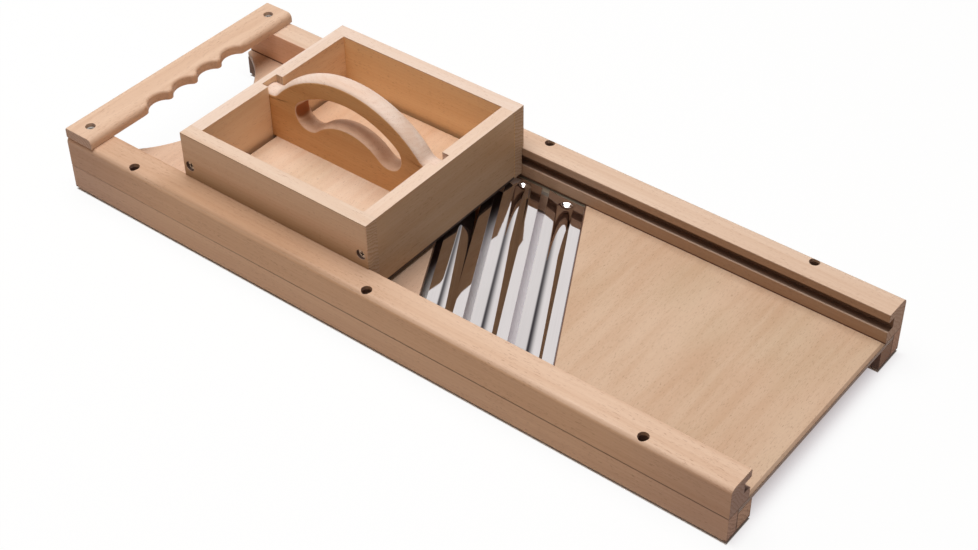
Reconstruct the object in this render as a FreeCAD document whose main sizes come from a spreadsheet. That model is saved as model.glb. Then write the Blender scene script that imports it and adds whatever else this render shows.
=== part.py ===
import FreeCAD, Part
import os
import Sketcher

# Wooden cabbage slicer. Two grooved beech rails stand on base rails and battens that carry a plywood bed.
# Three pressed steel blades cross the bed on the slant. A bottomless feed box slides along the rails on
# tongues, and a pusher with an arched grip drops into the box, guided by grooves in the box's end walls.
# Millimetres. X runs from the handle end to the free end, Y across from the near rail to the far rail, Z up.
# The origin lies under the middle of the slicer, on the surface it stands on.

doc = FreeCAD.newDocument("cabbage_slicer")

# Driving sizes
SIZES = [
    ("overall_length", 676.0),
    ("overall_width", 253.0),
    ("base_height", 26.0),
    ("base_rail_width", 12.5),
    ("base_chamfer", 2.5),
    ("batten_width", 19.0),
    ("edge_round", 0.8),
    ("guide_rail_width", 26.5),
    ("guide_rail_height", 30.0),
    ("rail_round", 5.0),
    ("groove_depth", 8.0),
    ("groove_height", 10.0),
    ("groove_rise", 12.0),
    ("rail_screw_spacing", 260.0),
    ("rail_screw_length", 32.0),
    ("counterbore_depth", 18.0),
    ("bed_thickness", 5.0),
    ("bed_clearance", 0.5),
    ("entry_bed_length", 311.5),
    ("hand_gap_radius", 107.0),
    ("hand_gap_reach", 59.0),
    ("blade_angle", 28.5),
    ("blade_width", 32.0),
    ("blade_thickness", 1.2),
    ("blade_throat", 7.0),
    ("blade_seat", 2.0),
    ("blade_gap", 0.5),
    ("blade_grind", 3.0),
    ("edge_lift", 1.5),
    ("bead_width", 13.3),
    ("bead_depth", 2.4),
    ("bead_inset", 3.0),
    ("bar_width", 32.0),
    ("bar_thickness", 10.0),
    ("bar_round", 5.0),
    ("bar_edge_round", 2.0),
    ("bar_screw_inset", 15.0),
    ("bar_screw_length", 28.0),
    ("bar_counterbore_depth", 6.0),
    ("scallop_pitch", 30.5),
    ("scallop_depth", 7.5),
    ("cusp_round", 4.5),
    ("cusp_drop", 0.3),
    ("pan_head_diameter", 7.6),
    ("pan_head_height", 3.0),
    ("shank_diameter", 4.0),
    ("counterbore_diameter", 9.0),
    ("tip_length", 5.0),
    ("pilot_clearance", 0.15),
    ("pilot_spare", 1.0),
    ("flat_head_diameter", 9.0),
    ("flat_head_height", 2.6),
    ("recess_span", 4.6),
    ("recess_width", 1.1),
    ("recess_depth", 1.5),
    ("box_start", 120.5),
    ("box_length", 203.0),
    ("box_overhang", 1.5),
    ("box_wall", 13.0),
    ("box_rise", 44.0),
    ("box_lift", 4.0),
    ("shoulder_clearance", 0.3),
    ("side_clearance", 0.7),
    ("tongue_seat", 4.0),
    ("tongue_play", 0.7),
    ("tongue_clearance", 0.8),
    ("tongue_inset", 1.0),
    ("stop_clearance", 0.5),
    ("corner_screw_height", 38.0),
    ("corner_screw_inset", 7.0),
    ("corner_screw_sink", 1.6),
    ("corner_screw_length", 34.0),
    ("plate_gap", 3.5),
    ("plate_thickness", 10.0),
    ("plate_rise", 9.5),
    ("plate_round", 1.5),
    ("board_thickness", 17.4),
    ("board_clearance", 0.3),
    ("slot_depth", 7.0),
    ("slot_end_clearance", 0.5),
    ("slot_stop_gap", 0.3),
    ("toe_height", 45.5),
    ("toe_length", 12.5),
    ("grip_height", 85.5),
    ("grip_thickness", 20.0),
    ("grip_round", 4.0),
    ("toe_sweep", 8.0),
    ("lobe_radius", 12.8),
    ("lobe_height", 37.5),
    ("hump_height", 42.5),
    ("pusher_screw_spacing", 62.0),
    ("pusher_screw_length", 30.0),
]

# Counts
BLADES = 3
SCALLOPS = 4
RAIL_SCREWS = 3
PUSHER_SCREWS = 3

sheet = doc.addObject("Spreadsheet::Sheet", "dims")
for row, (alias, size) in enumerate(SIZES, start=1):
    sheet.set(f"A{row}", alias)
    sheet.set(f"B{row}", str(size))
    sheet.setAlias(f"B{row}", alias)
doc.recompute()

# Places worked out from the driving sizes, as expressions on the sheet
HANDLE_END = "(-dims.overall_length / 2)"
FREE_END = "(dims.overall_length / 2)"
OUTER = "(dims.overall_width / 2)"
BASE_INNER = f"({OUTER} - dims.base_rail_width)"
BATTEN_INNER = f"({BASE_INNER} - dims.batten_width)"
RAIL_INNER = f"({OUTER} - dims.guide_rail_width)"
BED_TOP = "dims.base_height"
BED_UNDER = "(dims.base_height - dims.bed_thickness)"
RAIL_TOP = "(dims.base_height + dims.guide_rail_height)"
GROOVE_FLOOR = "(dims.base_height + dims.groove_rise)"
GROOVE_TOP = f"({GROOVE_FLOOR} + dims.groove_height)"
GROOVE_BACK = f"({RAIL_INNER} + dims.groove_depth)"
BED_EDGE = f"({BASE_INNER} - dims.bed_clearance)"
SLOPE = "tan(dims.blade_angle)"
SLANT = "cos(dims.blade_angle)"
BED_SPLIT = f"({HANDLE_END} + dims.entry_bed_length)"
BLADE_STEP = f"((dims.blade_width + dims.blade_throat) / {SLANT})"
BED_RESTART = f"({BED_SPLIT} + {BLADES} * {BLADE_STEP} + dims.blade_gap / {SLANT})"
BLADE_END = f"({BATTEN_INNER} + dims.blade_seat)"
SEAT_GAP = f"(dims.blade_gap / {SLANT})"
BAR_INNER = f"({HANDLE_END} + dims.bar_width)"
BAR_TOP = f"({RAIL_TOP} + dims.bar_thickness)"
BAR_SCREW_X = f"({HANDLE_END} + dims.bar_width / 2)"
BAR_SCREW_Y = f"({OUTER} - dims.bar_screw_inset)"
RAIL_SCREW_Y = f"({OUTER} - dims.base_rail_width / 2)"
SCREW_START = f"(-dims.rail_screw_spacing * {(RAIL_SCREWS - 1) / 2})"
BOX_BACK = f"({HANDLE_END} + dims.box_start)"
BOX_FRONT = f"({BOX_BACK} + dims.box_length)"
BOX_MIDDLE = f"({BOX_BACK} + dims.box_length / 2)"
BOX_SIDE = f"({RAIL_INNER} + dims.box_overhang)"
BOX_LOWER_SIDE = f"({RAIL_INNER} - dims.side_clearance)"
BOX_INSIDE = f"({BOX_SIDE} - dims.box_wall)"
BOX_BOTTOM = f"({BED_TOP} + dims.box_lift)"
BOX_TOP = f"({RAIL_TOP} + dims.box_rise)"
SHOULDER = f"({RAIL_TOP} + dims.shoulder_clearance)"
TONGUE_LOW = f"({GROOVE_FLOOR} + dims.tongue_play)"
TONGUE_HIGH = f"({GROOVE_TOP} - dims.tongue_play)"
TONGUE_OUTER = f"({GROOVE_BACK} - dims.tongue_clearance)"
TONGUE_INNER = f"({BOX_LOWER_SIDE} - dims.tongue_seat)"
TONGUE_START = f"({BOX_BACK} + dims.box_wall + dims.tongue_inset)"
TONGUE_LENGTH = "(dims.box_length - 2 * (dims.box_wall + dims.tongue_inset))"
GROOVE_START = f"({TONGUE_START} - dims.stop_clearance)"
CORNER_SCREW_Z = f"({BOX_BOTTOM} + dims.corner_screw_height)"
PLATE_UNDER = f"({BOX_BOTTOM} + dims.plate_rise)"
PLATE_TOP = f"({PLATE_UNDER} + dims.plate_thickness)"
PLATE_HALF_LENGTH = "(dims.box_length / 2 - dims.box_wall - dims.plate_gap)"
PLATE_HALF_WIDTH = f"({BOX_INSIDE} - dims.plate_gap)"
SLOT_FLOOR = f"({PLATE_TOP} - dims.slot_stop_gap)"
BOARD_HALF_LENGTH = "(dims.box_length / 2 - dims.box_wall + dims.slot_depth - dims.slot_end_clearance)"
TOE_TOP = f"({PLATE_TOP} + dims.toe_height)"
TOE_INNER = f"({BOARD_HALF_LENGTH} - dims.toe_length)"
GRIP_RISE = "(dims.grip_height - dims.toe_height)"
GRIP_RADIUS = f"((pow({TOE_INNER}; 2) + pow({GRIP_RISE}; 2)) / (2 * {GRIP_RISE}))"
GRIP_CENTRE = f"({PLATE_TOP} + dims.grip_height - {GRIP_RADIUS})"
PALM_RADIUS = f"({GRIP_RADIUS} - dims.grip_thickness)"
LOBE_Z = f"({PLATE_TOP} + dims.lobe_height)"
LOBE_X = f"sqrt(pow({PALM_RADIUS} - dims.lobe_radius; 2) - pow({LOBE_Z} - {GRIP_CENTRE}; 2))"
HUMP_FALL = "(dims.hump_height - dims.lobe_height)"
HUMP_RADIUS = (
    f"((pow({LOBE_X}; 2) + pow({HUMP_FALL}; 2) - pow(dims.lobe_radius; 2))"
    f" / (2 * (dims.lobe_radius + {HUMP_FALL})))"
)
HUMP_CENTRE = f"({PLATE_TOP} + dims.hump_height - {HUMP_RADIUS})"
BEYOND = 2.0
SIDES = (("near", -1), ("far", 1))


def value(expression):
    """The number that an expression gives now."""
    return float(sheet.evalExpression(expression))


def origin_feature(body, role):
    """The plane or axis of a body's own origin that has this role."""
    return next(item for item in body.Origin.OriginFeatures if item.Role == role)


def new_body(label):
    """An empty body whose label names its file."""
    body = doc.addObject("PartDesign::Body", label)
    body.Label = label
    return body


def new_sketch(body, role, offset="0"):
    """A sketch on one of the body's origin planes, moved along the plane's normal by an expression."""
    sketch = body.newObject("Sketcher::SketchObject", f"{body.Name}_sketch")
    sketch.AttachmentSupport = (origin_feature(body, role), [""])
    sketch.MapMode = "FlatFace"
    sketch.setExpression("AttachmentOffset.Base.z", offset)
    return sketch


def hold(sketch, constraint, expression):
    """Add a constraint and tie its value to an expression."""
    index = sketch.addConstraint(constraint)
    sketch.setExpression(f"Constraints[{index}]", expression)


def hold_point(sketch, geometry, position, x, y):
    """Tie one point of a sketch to two expressions."""
    hold(sketch, Sketcher.Constraint("DistanceX", -1, 1, geometry, position, value(x)), x)
    hold(sketch, Sketcher.Constraint("DistanceY", -1, 1, geometry, position, value(y)), y)


def polygon(sketch, corners):
    """A closed outline whose corners are pairs of expressions."""
    points = [FreeCAD.Vector(value(x), value(y), 0) for x, y in corners]
    first = sketch.GeometryCount
    count = len(points)
    for index, point in enumerate(points):
        sketch.addGeometry(Part.LineSegment(point, points[(index + 1) % count]), False)
    for index in range(count):
        following = first + (index + 1) % count
        sketch.addConstraint(Sketcher.Constraint("Coincident", first + index, 2, following, 1))
    for index, (x, y) in enumerate(corners):
        hold_point(sketch, first + index, 1, x, y)


def rectangle(sketch, x_low, x_high, y_low, y_high):
    """An upright rectangle between expressions."""
    polygon(sketch, [(x_low, y_low), (x_high, y_low), (x_high, y_high), (x_low, y_high)])


def circle(sketch, x, y, diameter):
    """A circle whose centre and diameter are expressions."""
    centre = FreeCAD.Vector(value(x), value(y), 0)
    index = sketch.addGeometry(Part.Circle(centre, FreeCAD.Vector(0, 0, 1), value(diameter) / 2), False)
    hold_point(sketch, index, 3, x, y)
    hold(sketch, Sketcher.Constraint("Diameter", index, value(diameter)), diameter)


def arc(sketch, centre, radius, start, end):
    """An arc drawn anticlockwise from one point to another, both given as numbers."""
    middle = FreeCAD.Vector(centre[0], centre[1], 0)
    full = Part.Circle(middle, FreeCAD.Vector(0, 0, 1), radius)
    start_angle = full.parameter(FreeCAD.Vector(start[0], start[1], 0))
    end_angle = full.parameter(FreeCAD.Vector(end[0], end[1], 0))
    return sketch.addGeometry(Part.ArcOfCircle(full, start_angle, end_angle), False)


def pad(body, sketch, length, reverse=False):
    """Raise a sketch by an expression, along its normal or against it."""
    feature = body.newObject("PartDesign::Pad", f"{body.Name}_pad")
    feature.Profile = (sketch, [""])
    feature.Reversed = reverse
    feature.setExpression("Length", length)
    doc.recompute()
    return feature


def pocket(body, sketch, length, reverse=False):
    """Cut a sketch in by an expression, against its normal or along it, and see that it cut something."""
    before = body.Shape.Volume
    feature = body.newObject("PartDesign::Pocket", f"{body.Name}_pocket")
    feature.Profile = (sketch, [""])
    feature.Reversed = reverse
    feature.setExpression("Length", length)
    doc.recompute()
    if body.Shape.Volume > before - 1e-6:
        raise RuntimeError(f"a pocket of {body.Label} cuts nothing")
    return feature


def row_of(body, features, role, length, copies):
    """Repeat features along one of the body's axes, over a length given by an expression."""
    pattern = body.newObject("PartDesign::LinearPattern", f"{body.Name}_row")
    pattern.Originals = features
    pattern.Direction = (origin_feature(body, role), [""])
    pattern.Occurrences = copies
    pattern.setExpression("Length", length)
    body.Tip = pattern
    doc.recompute()


def dress(body, kind, size_name, size, choose):
    """Fillet or chamfer the edges of a body that a test chooses."""
    base = body.Tip
    names = [f"Edge{index}" for index, edge in enumerate(base.Shape.Edges, start=1) if choose(edge)]
    if not names:
        raise RuntimeError(f"no edge of {body.Label} to dress")
    feature = body.newObject(f"PartDesign::{kind}", f"{body.Name}_{kind.lower()}")
    feature.Base = (base, names)
    feature.setExpression(size_name, size)
    body.Tip = feature
    doc.recompute()


def fillet(body, radius, choose):
    """Round the chosen edges."""
    dress(body, "Fillet", "Radius", radius, choose)


def chamfer(body, size, choose):
    """Bevel the chosen edges."""
    dress(body, "Chamfer", "Size", size, choose)


def near_to(number, expression):
    """True where a number is the value of an expression."""
    return abs(number - value(expression)) < 1e-4


def flat_at(edge, axis, expression):
    """True where an edge lies wholly at one place along an axis."""
    box = edge.BoundBox
    low = getattr(box, f"{axis}Min")
    high = getattr(box, f"{axis}Max")
    return near_to(low, expression) and near_to(high, expression)


def runs_along(edge, axis):
    """True where a straight edge lies along an axis."""
    lengths = {name: getattr(edge.BoundBox, f"{name}Length") for name in "XYZ"}
    return all(length < 1e-6 for name, length in lengths.items() if name != axis)


def bar_section(label, side, low, high, bottom, top):
    """A straight strip along the whole slicer: its section between two distances from the middle."""
    body = new_body(label)
    section = new_sketch(body, "YZ_Plane", HANDLE_END)
    rectangle(section, f"{side} * {low}", f"{side} * {high}", bottom, top)
    pad(body, section, "dims.overall_length")
    return body


# Screws
# The pan heads sit in counterbores, the flat heads are sunk flush or deeper. Each is turned about its own
# axis, with its head at the top of the local frame, and gets a cross recess.
def screw_profile(head, length, clearance="0", spare="0", mouth="0"):
    """Half section of a screw from its tip up. For its hole it is grown by a clearance and a spare depth,
    and a flat head gets a straight mouth above it."""
    shank = f"(dims.shank_diameter / 2 + {clearance})"
    tip = f"(-{length} - {spare})"
    shoulder = f"({tip} + dims.tip_length)"
    if head == "pan":
        rim = f"(dims.pan_head_diameter / 2 + {clearance})"
        crown = [(shank, "0"), (rim, "0"), (rim, "dims.pan_head_height"), ("0", "dims.pan_head_height")]
    else:
        rim = f"(dims.flat_head_diameter / 2 + {clearance})"
        crown = [(shank, "-dims.flat_head_height"), (rim, "0"), ("0", "0")]
        if mouth != "0":
            crown[2:] = [(rim, mouth), ("0", mouth)]
    return [("0", tip), (shank, shoulder), *crown]


def turned(label, profile):
    """A body turned about its Z axis from a half section."""
    body = new_body(label)
    section = new_sketch(body, "XZ_Plane")
    polygon(section, profile)
    feature = body.newObject("PartDesign::Revolution", f"{body.Name}_turn")
    feature.Profile = (section, [""])
    feature.ReferenceAxis = (section, ["V_Axis"])
    feature.Angle = 360.0
    doc.recompute()
    return body


def place(item, x, y, z, tilt=0):
    """Put an object at a point given by expressions, turned about X by an angle in degrees."""
    item.Placement = FreeCAD.Placement(FreeCAD.Vector(), FreeCAD.Rotation(FreeCAD.Vector(1, 0, 0), tilt))
    item.setExpression("Placement.Base.x", x)
    item.setExpression("Placement.Base.y", y)
    item.setExpression("Placement.Base.z", z)


def screw(label, head, length, where):
    """One screw with its cross recess, put in place."""
    body = turned(label, screw_profile(head, length))
    top = "dims.pan_head_height" if head == "pan" else "0"
    recess = new_sketch(body, "XY_Plane", top)
    span = "dims.recess_span / 2"
    arm = "dims.recess_width / 2"
    corners = [
        (arm, f"-{arm}"), (span, f"-{arm}"), (span, arm), (arm, arm), (arm, span), (f"-{arm}", span),
        (f"-{arm}", arm), (f"-{span}", arm), (f"-{span}", f"-{arm}"), (f"-{arm}", f"-{arm}"),
        (f"-{arm}", f"-{span}"), (arm, f"-{span}"),
    ]
    polygon(recess, corners)
    pocket(body, recess, "dims.recess_depth")
    place(body, *where)
    return body


def screw_hole(label, head, length, where, mouth="0"):
    """The hole that a screw fills, larger all round by the pilot clearance, with room for its mouth."""
    body = turned(label, screw_profile(head, length, "dims.pilot_clearance", "dims.pilot_spare", mouth))
    place(body, *where)
    return body


def group(label, items):
    """Several like pieces kept together as one node."""
    compound = doc.addObject("Part::Compound", label)
    compound.Label = label
    compound.Links = items
    return compound


def bored(label, blank, holes):
    """A piece with its screw holes cut out of the blank."""
    piece = doc.addObject("Part::Cut", label)
    piece.Label = label
    piece.Base = blank
    piece.Tool = group(f"{label}_holes", holes)
    return piece


nodes = []

# Base rails
# Outer strips that the slicer stands on, chamfered along the foot, with pilot holes for the rail screws.
RAIL_SCREW_SEAT = f"({RAIL_TOP} - dims.counterbore_depth)"
PILOT_DIAMETER = "(dims.shank_diameter + 2 * dims.pilot_clearance)"
PILOT_DEPTH = f"(dims.rail_screw_length - ({RAIL_SCREW_SEAT} - {BED_TOP}) + dims.pilot_spare)"
for name, side in SIDES:
    rail = bar_section(f"{name}_base_rail", side, BASE_INNER, OUTER, "0", BED_TOP)
    outer = f"{side} * {OUTER}"
    hidden = f"{side} * {BASE_INNER}"
    chamfer(rail, "dims.base_chamfer",
            lambda edge: flat_at(edge, "Z", "0") and not flat_at(edge, "Y", hidden))
    fillet(rail, "dims.edge_round", lambda edge: flat_at(edge, "Y", outer) and flat_at(edge, "Z", BED_TOP))
    pilot = new_sketch(rail, "XY_Plane", BED_TOP)
    circle(pilot, SCREW_START, f"{side} * {RAIL_SCREW_Y}", PILOT_DIAMETER)
    hole = pocket(rail, pilot, PILOT_DEPTH)
    row_of(rail, [hole], "X_Axis", f"{RAIL_SCREWS - 1} * dims.rail_screw_spacing", RAIL_SCREWS)
    nodes.append(rail)

# Bed battens
# Inner strips glued to the base rails. Their tops are one bed thickness lower, and the bed lies on them.
for name, side in SIDES:
    batten = bar_section(f"{name}_bed_batten", side, BATTEN_INNER, BASE_INNER, "0", BED_UNDER)
    hidden = f"{side} * {BASE_INNER}"
    chamfer(batten, "dims.base_chamfer",
            lambda edge: flat_at(edge, "Z", "0") and not flat_at(edge, "Y", hidden))
    nodes.append(batten)


# Bed boards
# Two plywood boards, cut on the slant where the blades cross. The entry board ends in a round hand gap.
def slanted(start, y):
    """Where a slanted line that crosses the middle at start lies at a distance y across."""
    return f"({start} - ({y}) * {SLOPE})"


def bed_board(label, left, right):
    """A plywood board between two lines given as functions of the distance across."""
    body = new_body(label)
    outline = new_sketch(body, "XY_Plane", BED_UNDER)
    low = f"-{BED_EDGE}"
    polygon(outline, [(left(low), low), (right(low), low),
                      (right(BED_EDGE), BED_EDGE), (left(BED_EDGE), BED_EDGE)])
    pad(body, outline, "dims.bed_thickness")
    return body


entry_bed = bed_board("entry_bed", lambda y: HANDLE_END, lambda y: slanted(BED_SPLIT, y))
gap_outline = new_sketch(entry_bed, "XY_Plane", f"{BED_TOP} + {BEYOND}")
GAP_CENTRE = f"({HANDLE_END} + dims.hand_gap_reach - dims.hand_gap_radius)"
circle(gap_outline, GAP_CENTRE, "0", "2 * dims.hand_gap_radius")
pocket(entry_bed, gap_outline, f"dims.bed_thickness + {2 * BEYOND}")
fillet(entry_bed, "dims.edge_round", lambda edge: isinstance(edge.Curve, Part.Circle))
nodes.append(entry_bed)

exit_bed = bed_board("exit_bed", lambda y: slanted(BED_RESTART, y), lambda y: FREE_END)
fillet(exit_bed, "dims.edge_round", lambda edge: flat_at(edge, "X", FREE_END) and runs_along(edge, "Y"))
nodes.append(exit_bed)

# Blade strips
# Flat steel strips on the battens that carry the ends of the blades and fill the bed's thickness under them.
for name, side in SIDES:
    strip = new_body(f"{name}_blade_strip")
    outline = new_sketch(strip, "XY_Plane", BED_UNDER)
    strip_start = f"({BED_SPLIT} + {SEAT_GAP})"
    strip_end = f"({BED_RESTART} - {SEAT_GAP})"
    inner = f"{side} * {BATTEN_INNER}"
    outer = f"{side} * {BED_EDGE}"
    polygon(outline, [(slanted(strip_start, inner), inner), (slanted(strip_end, inner), inner),
                      (slanted(strip_end, outer), outer), (slanted(strip_start, outer), outer)])
    pad(strip, outline, "dims.bed_thickness - dims.blade_thickness")
    nodes.append(strip)

# Blades
# Stainless sheet with a bead pressed down along the middle, domed at both ends, and a ground leading edge
# that is bent up above the bed. Each is made along Y, turned to the slant and trimmed along the strips.
BEAD_RADIUS = "((pow(dims.bead_width / 2; 2) + pow(dims.bead_depth; 2)) / (2 * dims.bead_depth))"
BEAD_AXIS = f"({BED_TOP} + {BEAD_RADIUS} - dims.bead_depth)"
BEAD_HALF_LENGTH = f"(({BLADE_END} - dims.bead_inset - dims.bead_width / 2) / {SLANT})"
BLADE_HALF = "(dims.blade_width / 2)"
BLADE_HALF_LENGTH = f"({OUTER} / {SLANT})"
BLADE_UNDER = f"({BED_TOP} - dims.blade_thickness)"


def capsule(label, radius):
    """A rod along Y with round ends, the form that presses the bead."""
    rod = doc.addObject("Part::Cylinder", f"{label}_rod")
    rod.Placement = FreeCAD.Placement(FreeCAD.Vector(), FreeCAD.Rotation(FreeCAD.Vector(1, 0, 0), 90))
    rod.setExpression("Radius", radius)
    rod.setExpression("Height", f"2 * {BEAD_HALF_LENGTH}")
    rod.setExpression("Placement.Base.y", BEAD_HALF_LENGTH)
    rod.setExpression("Placement.Base.z", BEAD_AXIS)
    pieces = [rod]
    for end in (-1, 1):
        ball = doc.addObject("Part::Sphere", f"{label}_ball")
        ball.setExpression("Radius", radius)
        ball.setExpression("Placement.Base.y", f"{end} * {BEAD_HALF_LENGTH}")
        ball.setExpression("Placement.Base.z", BEAD_AXIS)
        pieces.append(ball)
    whole = doc.addObject("Part::MultiFuse", label)
    whole.Shapes = pieces
    whole.Refine = True
    return whole


def combine(kind, label, base, tool):
    """A boolean of two objects."""
    result = doc.addObject(f"Part::{kind}", label)
    result.Base = base
    result.Tool = tool
    return result


def slab(label, half_x, half_y, bottom, top):
    """A block centred on the Z axis between two heights."""
    block = doc.addObject("Part::Box", label)
    block.setExpression("Length", f"2 * {half_x}")
    block.setExpression("Width", f"2 * {half_y}")
    block.setExpression("Height", f"{top} - {bottom}")
    block.setExpression("Placement.Base.x", f"-{half_x}")
    block.setExpression("Placement.Base.y", f"-{half_y}")
    block.setExpression("Placement.Base.z", bottom)
    return block


for number in range(BLADES):
    label = f"blade_{number + 1}"
    sheet_metal = new_body(f"{label}_sheet")
    section = new_sketch(sheet_metal, "XZ_Plane", f"-{BLADE_HALF_LENGTH}")
    bend = "(-dims.bead_width / 2)"
    flange = f"({BLADE_HALF} - dims.bead_width / 2)"
    grind_z = f"({BLADE_UNDER} + dims.edge_lift * ({flange} - dims.blade_grind) / {flange})"
    polygon(section, [
        (BLADE_HALF, BLADE_UNDER), (BLADE_HALF, BED_TOP), (bend, BED_TOP),
        (f"-{BLADE_HALF}", f"{BED_TOP} + dims.edge_lift"),
        (f"-{BLADE_HALF} + dims.blade_grind", grind_z), (bend, BLADE_UNDER),
    ])
    pad(sheet_metal, section, f"2 * {BLADE_HALF_LENGTH}")
    press = capsule(f"{label}_press", f"({BEAD_RADIUS} + dims.blade_thickness)")
    half_sheet = f"({BED_TOP} - dims.blade_thickness / 2)"
    below = slab(f"{label}_below", BLADE_HALF, BLADE_HALF_LENGTH, "0", half_sheet)
    bulge = combine("Common", f"{label}_bulge", press, below)
    pressed = combine("Fuse", f"{label}_pressed", sheet_metal, bulge)
    beaded = combine("Cut", f"{label}_beaded", pressed, capsule(f"{label}_bead", BEAD_RADIUS))
    crossing = f"({BED_SPLIT} + {number} * {BLADE_STEP} + (dims.blade_throat + {BLADE_HALF}) / {SLANT})"
    beaded.setExpression("Placement.Rotation.Angle", "dims.blade_angle")
    beaded.setExpression("Placement.Base.x", crossing)
    trim = slab(f"{label}_trim", FREE_END, BLADE_END, "0", RAIL_TOP)
    blade = combine("Common", label, beaded, trim)
    blade.Label = label
    nodes.append(blade)

# Guide rails
# Beech rails with a groove along the inner side for the feed box's tongues, open at the free end and stopped
# where the box comes to rest, and deep counterbored screw holes.
for name, side in SIDES:
    rail = new_body(f"{name}_guide_rail")
    section = new_sketch(rail, "YZ_Plane", HANDLE_END)
    inner = f"{side} * {RAIL_INNER}"
    outer = f"{side} * {OUTER}"
    rectangle(section, inner, outer, BED_TOP, RAIL_TOP)
    pad(rail, section, "dims.overall_length")
    groove = new_sketch(rail, "YZ_Plane", GROOVE_START)
    rectangle(groove, f"{side} * ({RAIL_INNER} - {BEYOND})", f"{side} * {GROOVE_BACK}",
              GROOVE_FLOOR, GROOVE_TOP)
    pocket(rail, groove, f"{FREE_END} - {GROOVE_START} + {BEYOND}", reverse=True)
    fillet(rail, "dims.rail_round", lambda edge: flat_at(edge, "Y", outer) and flat_at(edge, "Z", RAIL_TOP))
    fillet(rail, "dims.edge_round", lambda edge: runs_along(edge, "X") and (
        flat_at(edge, "Y", inner) and not flat_at(edge, "Z", BED_TOP)
        or flat_at(edge, "Y", outer) and flat_at(edge, "Z", BED_TOP)))
    mouth = new_sketch(rail, "XY_Plane", RAIL_TOP)
    circle(mouth, SCREW_START, f"{side} * {RAIL_SCREW_Y}", "dims.counterbore_diameter")
    counterbore = pocket(rail, mouth, "dims.counterbore_depth")
    shaft = new_sketch(rail, "XY_Plane", RAIL_TOP)
    circle(shaft, SCREW_START, f"{side} * {RAIL_SCREW_Y}", PILOT_DIAMETER)
    clear = pocket(rail, shaft, f"dims.guide_rail_height + {BEYOND}")
    row_of(rail, [counterbore, clear], "X_Axis", f"{RAIL_SCREWS - 1} * dims.rail_screw_spacing", RAIL_SCREWS)
    pilot = new_sketch(rail, "XY_Plane", RAIL_TOP)
    circle(pilot, BAR_SCREW_X, f"{side} * {BAR_SCREW_Y}", PILOT_DIAMETER)
    bar_screw_bite = "(dims.bar_screw_length - dims.bar_thickness + dims.bar_counterbore_depth)"
    pocket(rail, pilot, f"{bar_screw_bite} + dims.pilot_spare")
    nodes.append(rail)

rail_screws = []
for name, side in SIDES:
    for number in range(RAIL_SCREWS):
        x = f"({SCREW_START} + {number} * dims.rail_screw_spacing)"
        where = (x, f"{side} * {RAIL_SCREW_Y}", RAIL_SCREW_SEAT)
        rail_screws.append(screw(f"{name}_rail_screw_{number + 1}", "pan", "dims.rail_screw_length", where))
nodes.append(group("rail_screws", rail_screws))

# Handle bar
# A bar across the rails at the handle end. Its inner edge is rounded over, and then finger scallops are cut
# through it: large hollow arcs joined by small round cusps.
bar = new_body("handle_bar")
outline = new_sketch(bar, "XY_Plane", RAIL_TOP)
rectangle(outline, HANDLE_END, BAR_INNER, f"-{OUTER}", OUTER)
pad(bar, outline, "dims.bar_thickness")
fillet(bar, "dims.bar_round", lambda edge: flat_at(edge, "X", BAR_INNER) and flat_at(edge, "Z", BAR_TOP))
fillet(bar, "dims.bar_edge_round", lambda edge: runs_along(edge, "Y") and flat_at(edge, "X", HANDLE_END)
       or runs_along(edge, "X") and flat_at(edge, "Z", BAR_TOP))

CUSP_FALL = "(dims.scallop_depth - dims.cusp_drop)"
ARC_REACH = f"((pow(dims.scallop_pitch / 2; 2) + pow({CUSP_FALL}; 2)) / (2 * {CUSP_FALL}))"
SCALLOP_RADIUS = f"({ARC_REACH} - dims.cusp_round)"
SCALLOP_X = f"({BAR_INNER} - dims.scallop_depth + {SCALLOP_RADIUS})"
CUSP_X = f"({BAR_INNER} - dims.cusp_drop - dims.cusp_round)"
END_CUSP_X = f"({BAR_INNER} + dims.cusp_drop - dims.cusp_round)"
END_CUSP_STEP = f"sqrt(pow({ARC_REACH}; 2) - pow({SCALLOP_X} - {END_CUSP_X}; 2))"
OUTSIDE_X = f"({BAR_INNER} + dims.cusp_drop + {BEYOND})"


def touch(hollow, cusp):
    """The point where a hollow arc meets the cusp beside it, from the two centres and radii."""
    share = hollow_radius / (hollow_radius + cusp_radius)
    return tuple(h + (c - h) * share for h, c in zip(hollow, cusp))


# The wavy cut runs along the bar: each hollow is held by centre and radius, each cusp rolls on its hollows.
scallops = new_sketch(bar, "XY_Plane", f"{BAR_TOP} + {BEYOND}")
hollow_radius = value(SCALLOP_RADIUS)
cusp_radius = value("dims.cusp_round")
hollow_y = [f"({number - (SCALLOPS - 1) / 2} * dims.scallop_pitch)" for number in range(SCALLOPS)]
hollows = [(value(SCALLOP_X), value(y)) for y in hollow_y]
end_step = value(END_CUSP_STEP)
cusps = [(value(END_CUSP_X), hollows[0][1] - end_step)]
cusps += [(value(CUSP_X), (low[1] + high[1]) / 2) for low, high in zip(hollows, hollows[1:])]
cusps += [(value(END_CUSP_X), hollows[-1][1] + end_step)]
crowns = [(x + cusp_radius, y) for x, y in cusps]
cusp_arcs = []
for number, centre in enumerate(cusps):
    start = touch(hollows[number - 1], centre) if number > 0 else crowns[0]
    end = touch(hollows[number], centre) if number < SCALLOPS else crowns[-1]
    cusp_arcs.append(arc(scallops, centre, cusp_radius, start, end))
    hold(scallops, Sketcher.Constraint("Radius", cusp_arcs[-1], cusp_radius), "dims.cusp_round")
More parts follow.
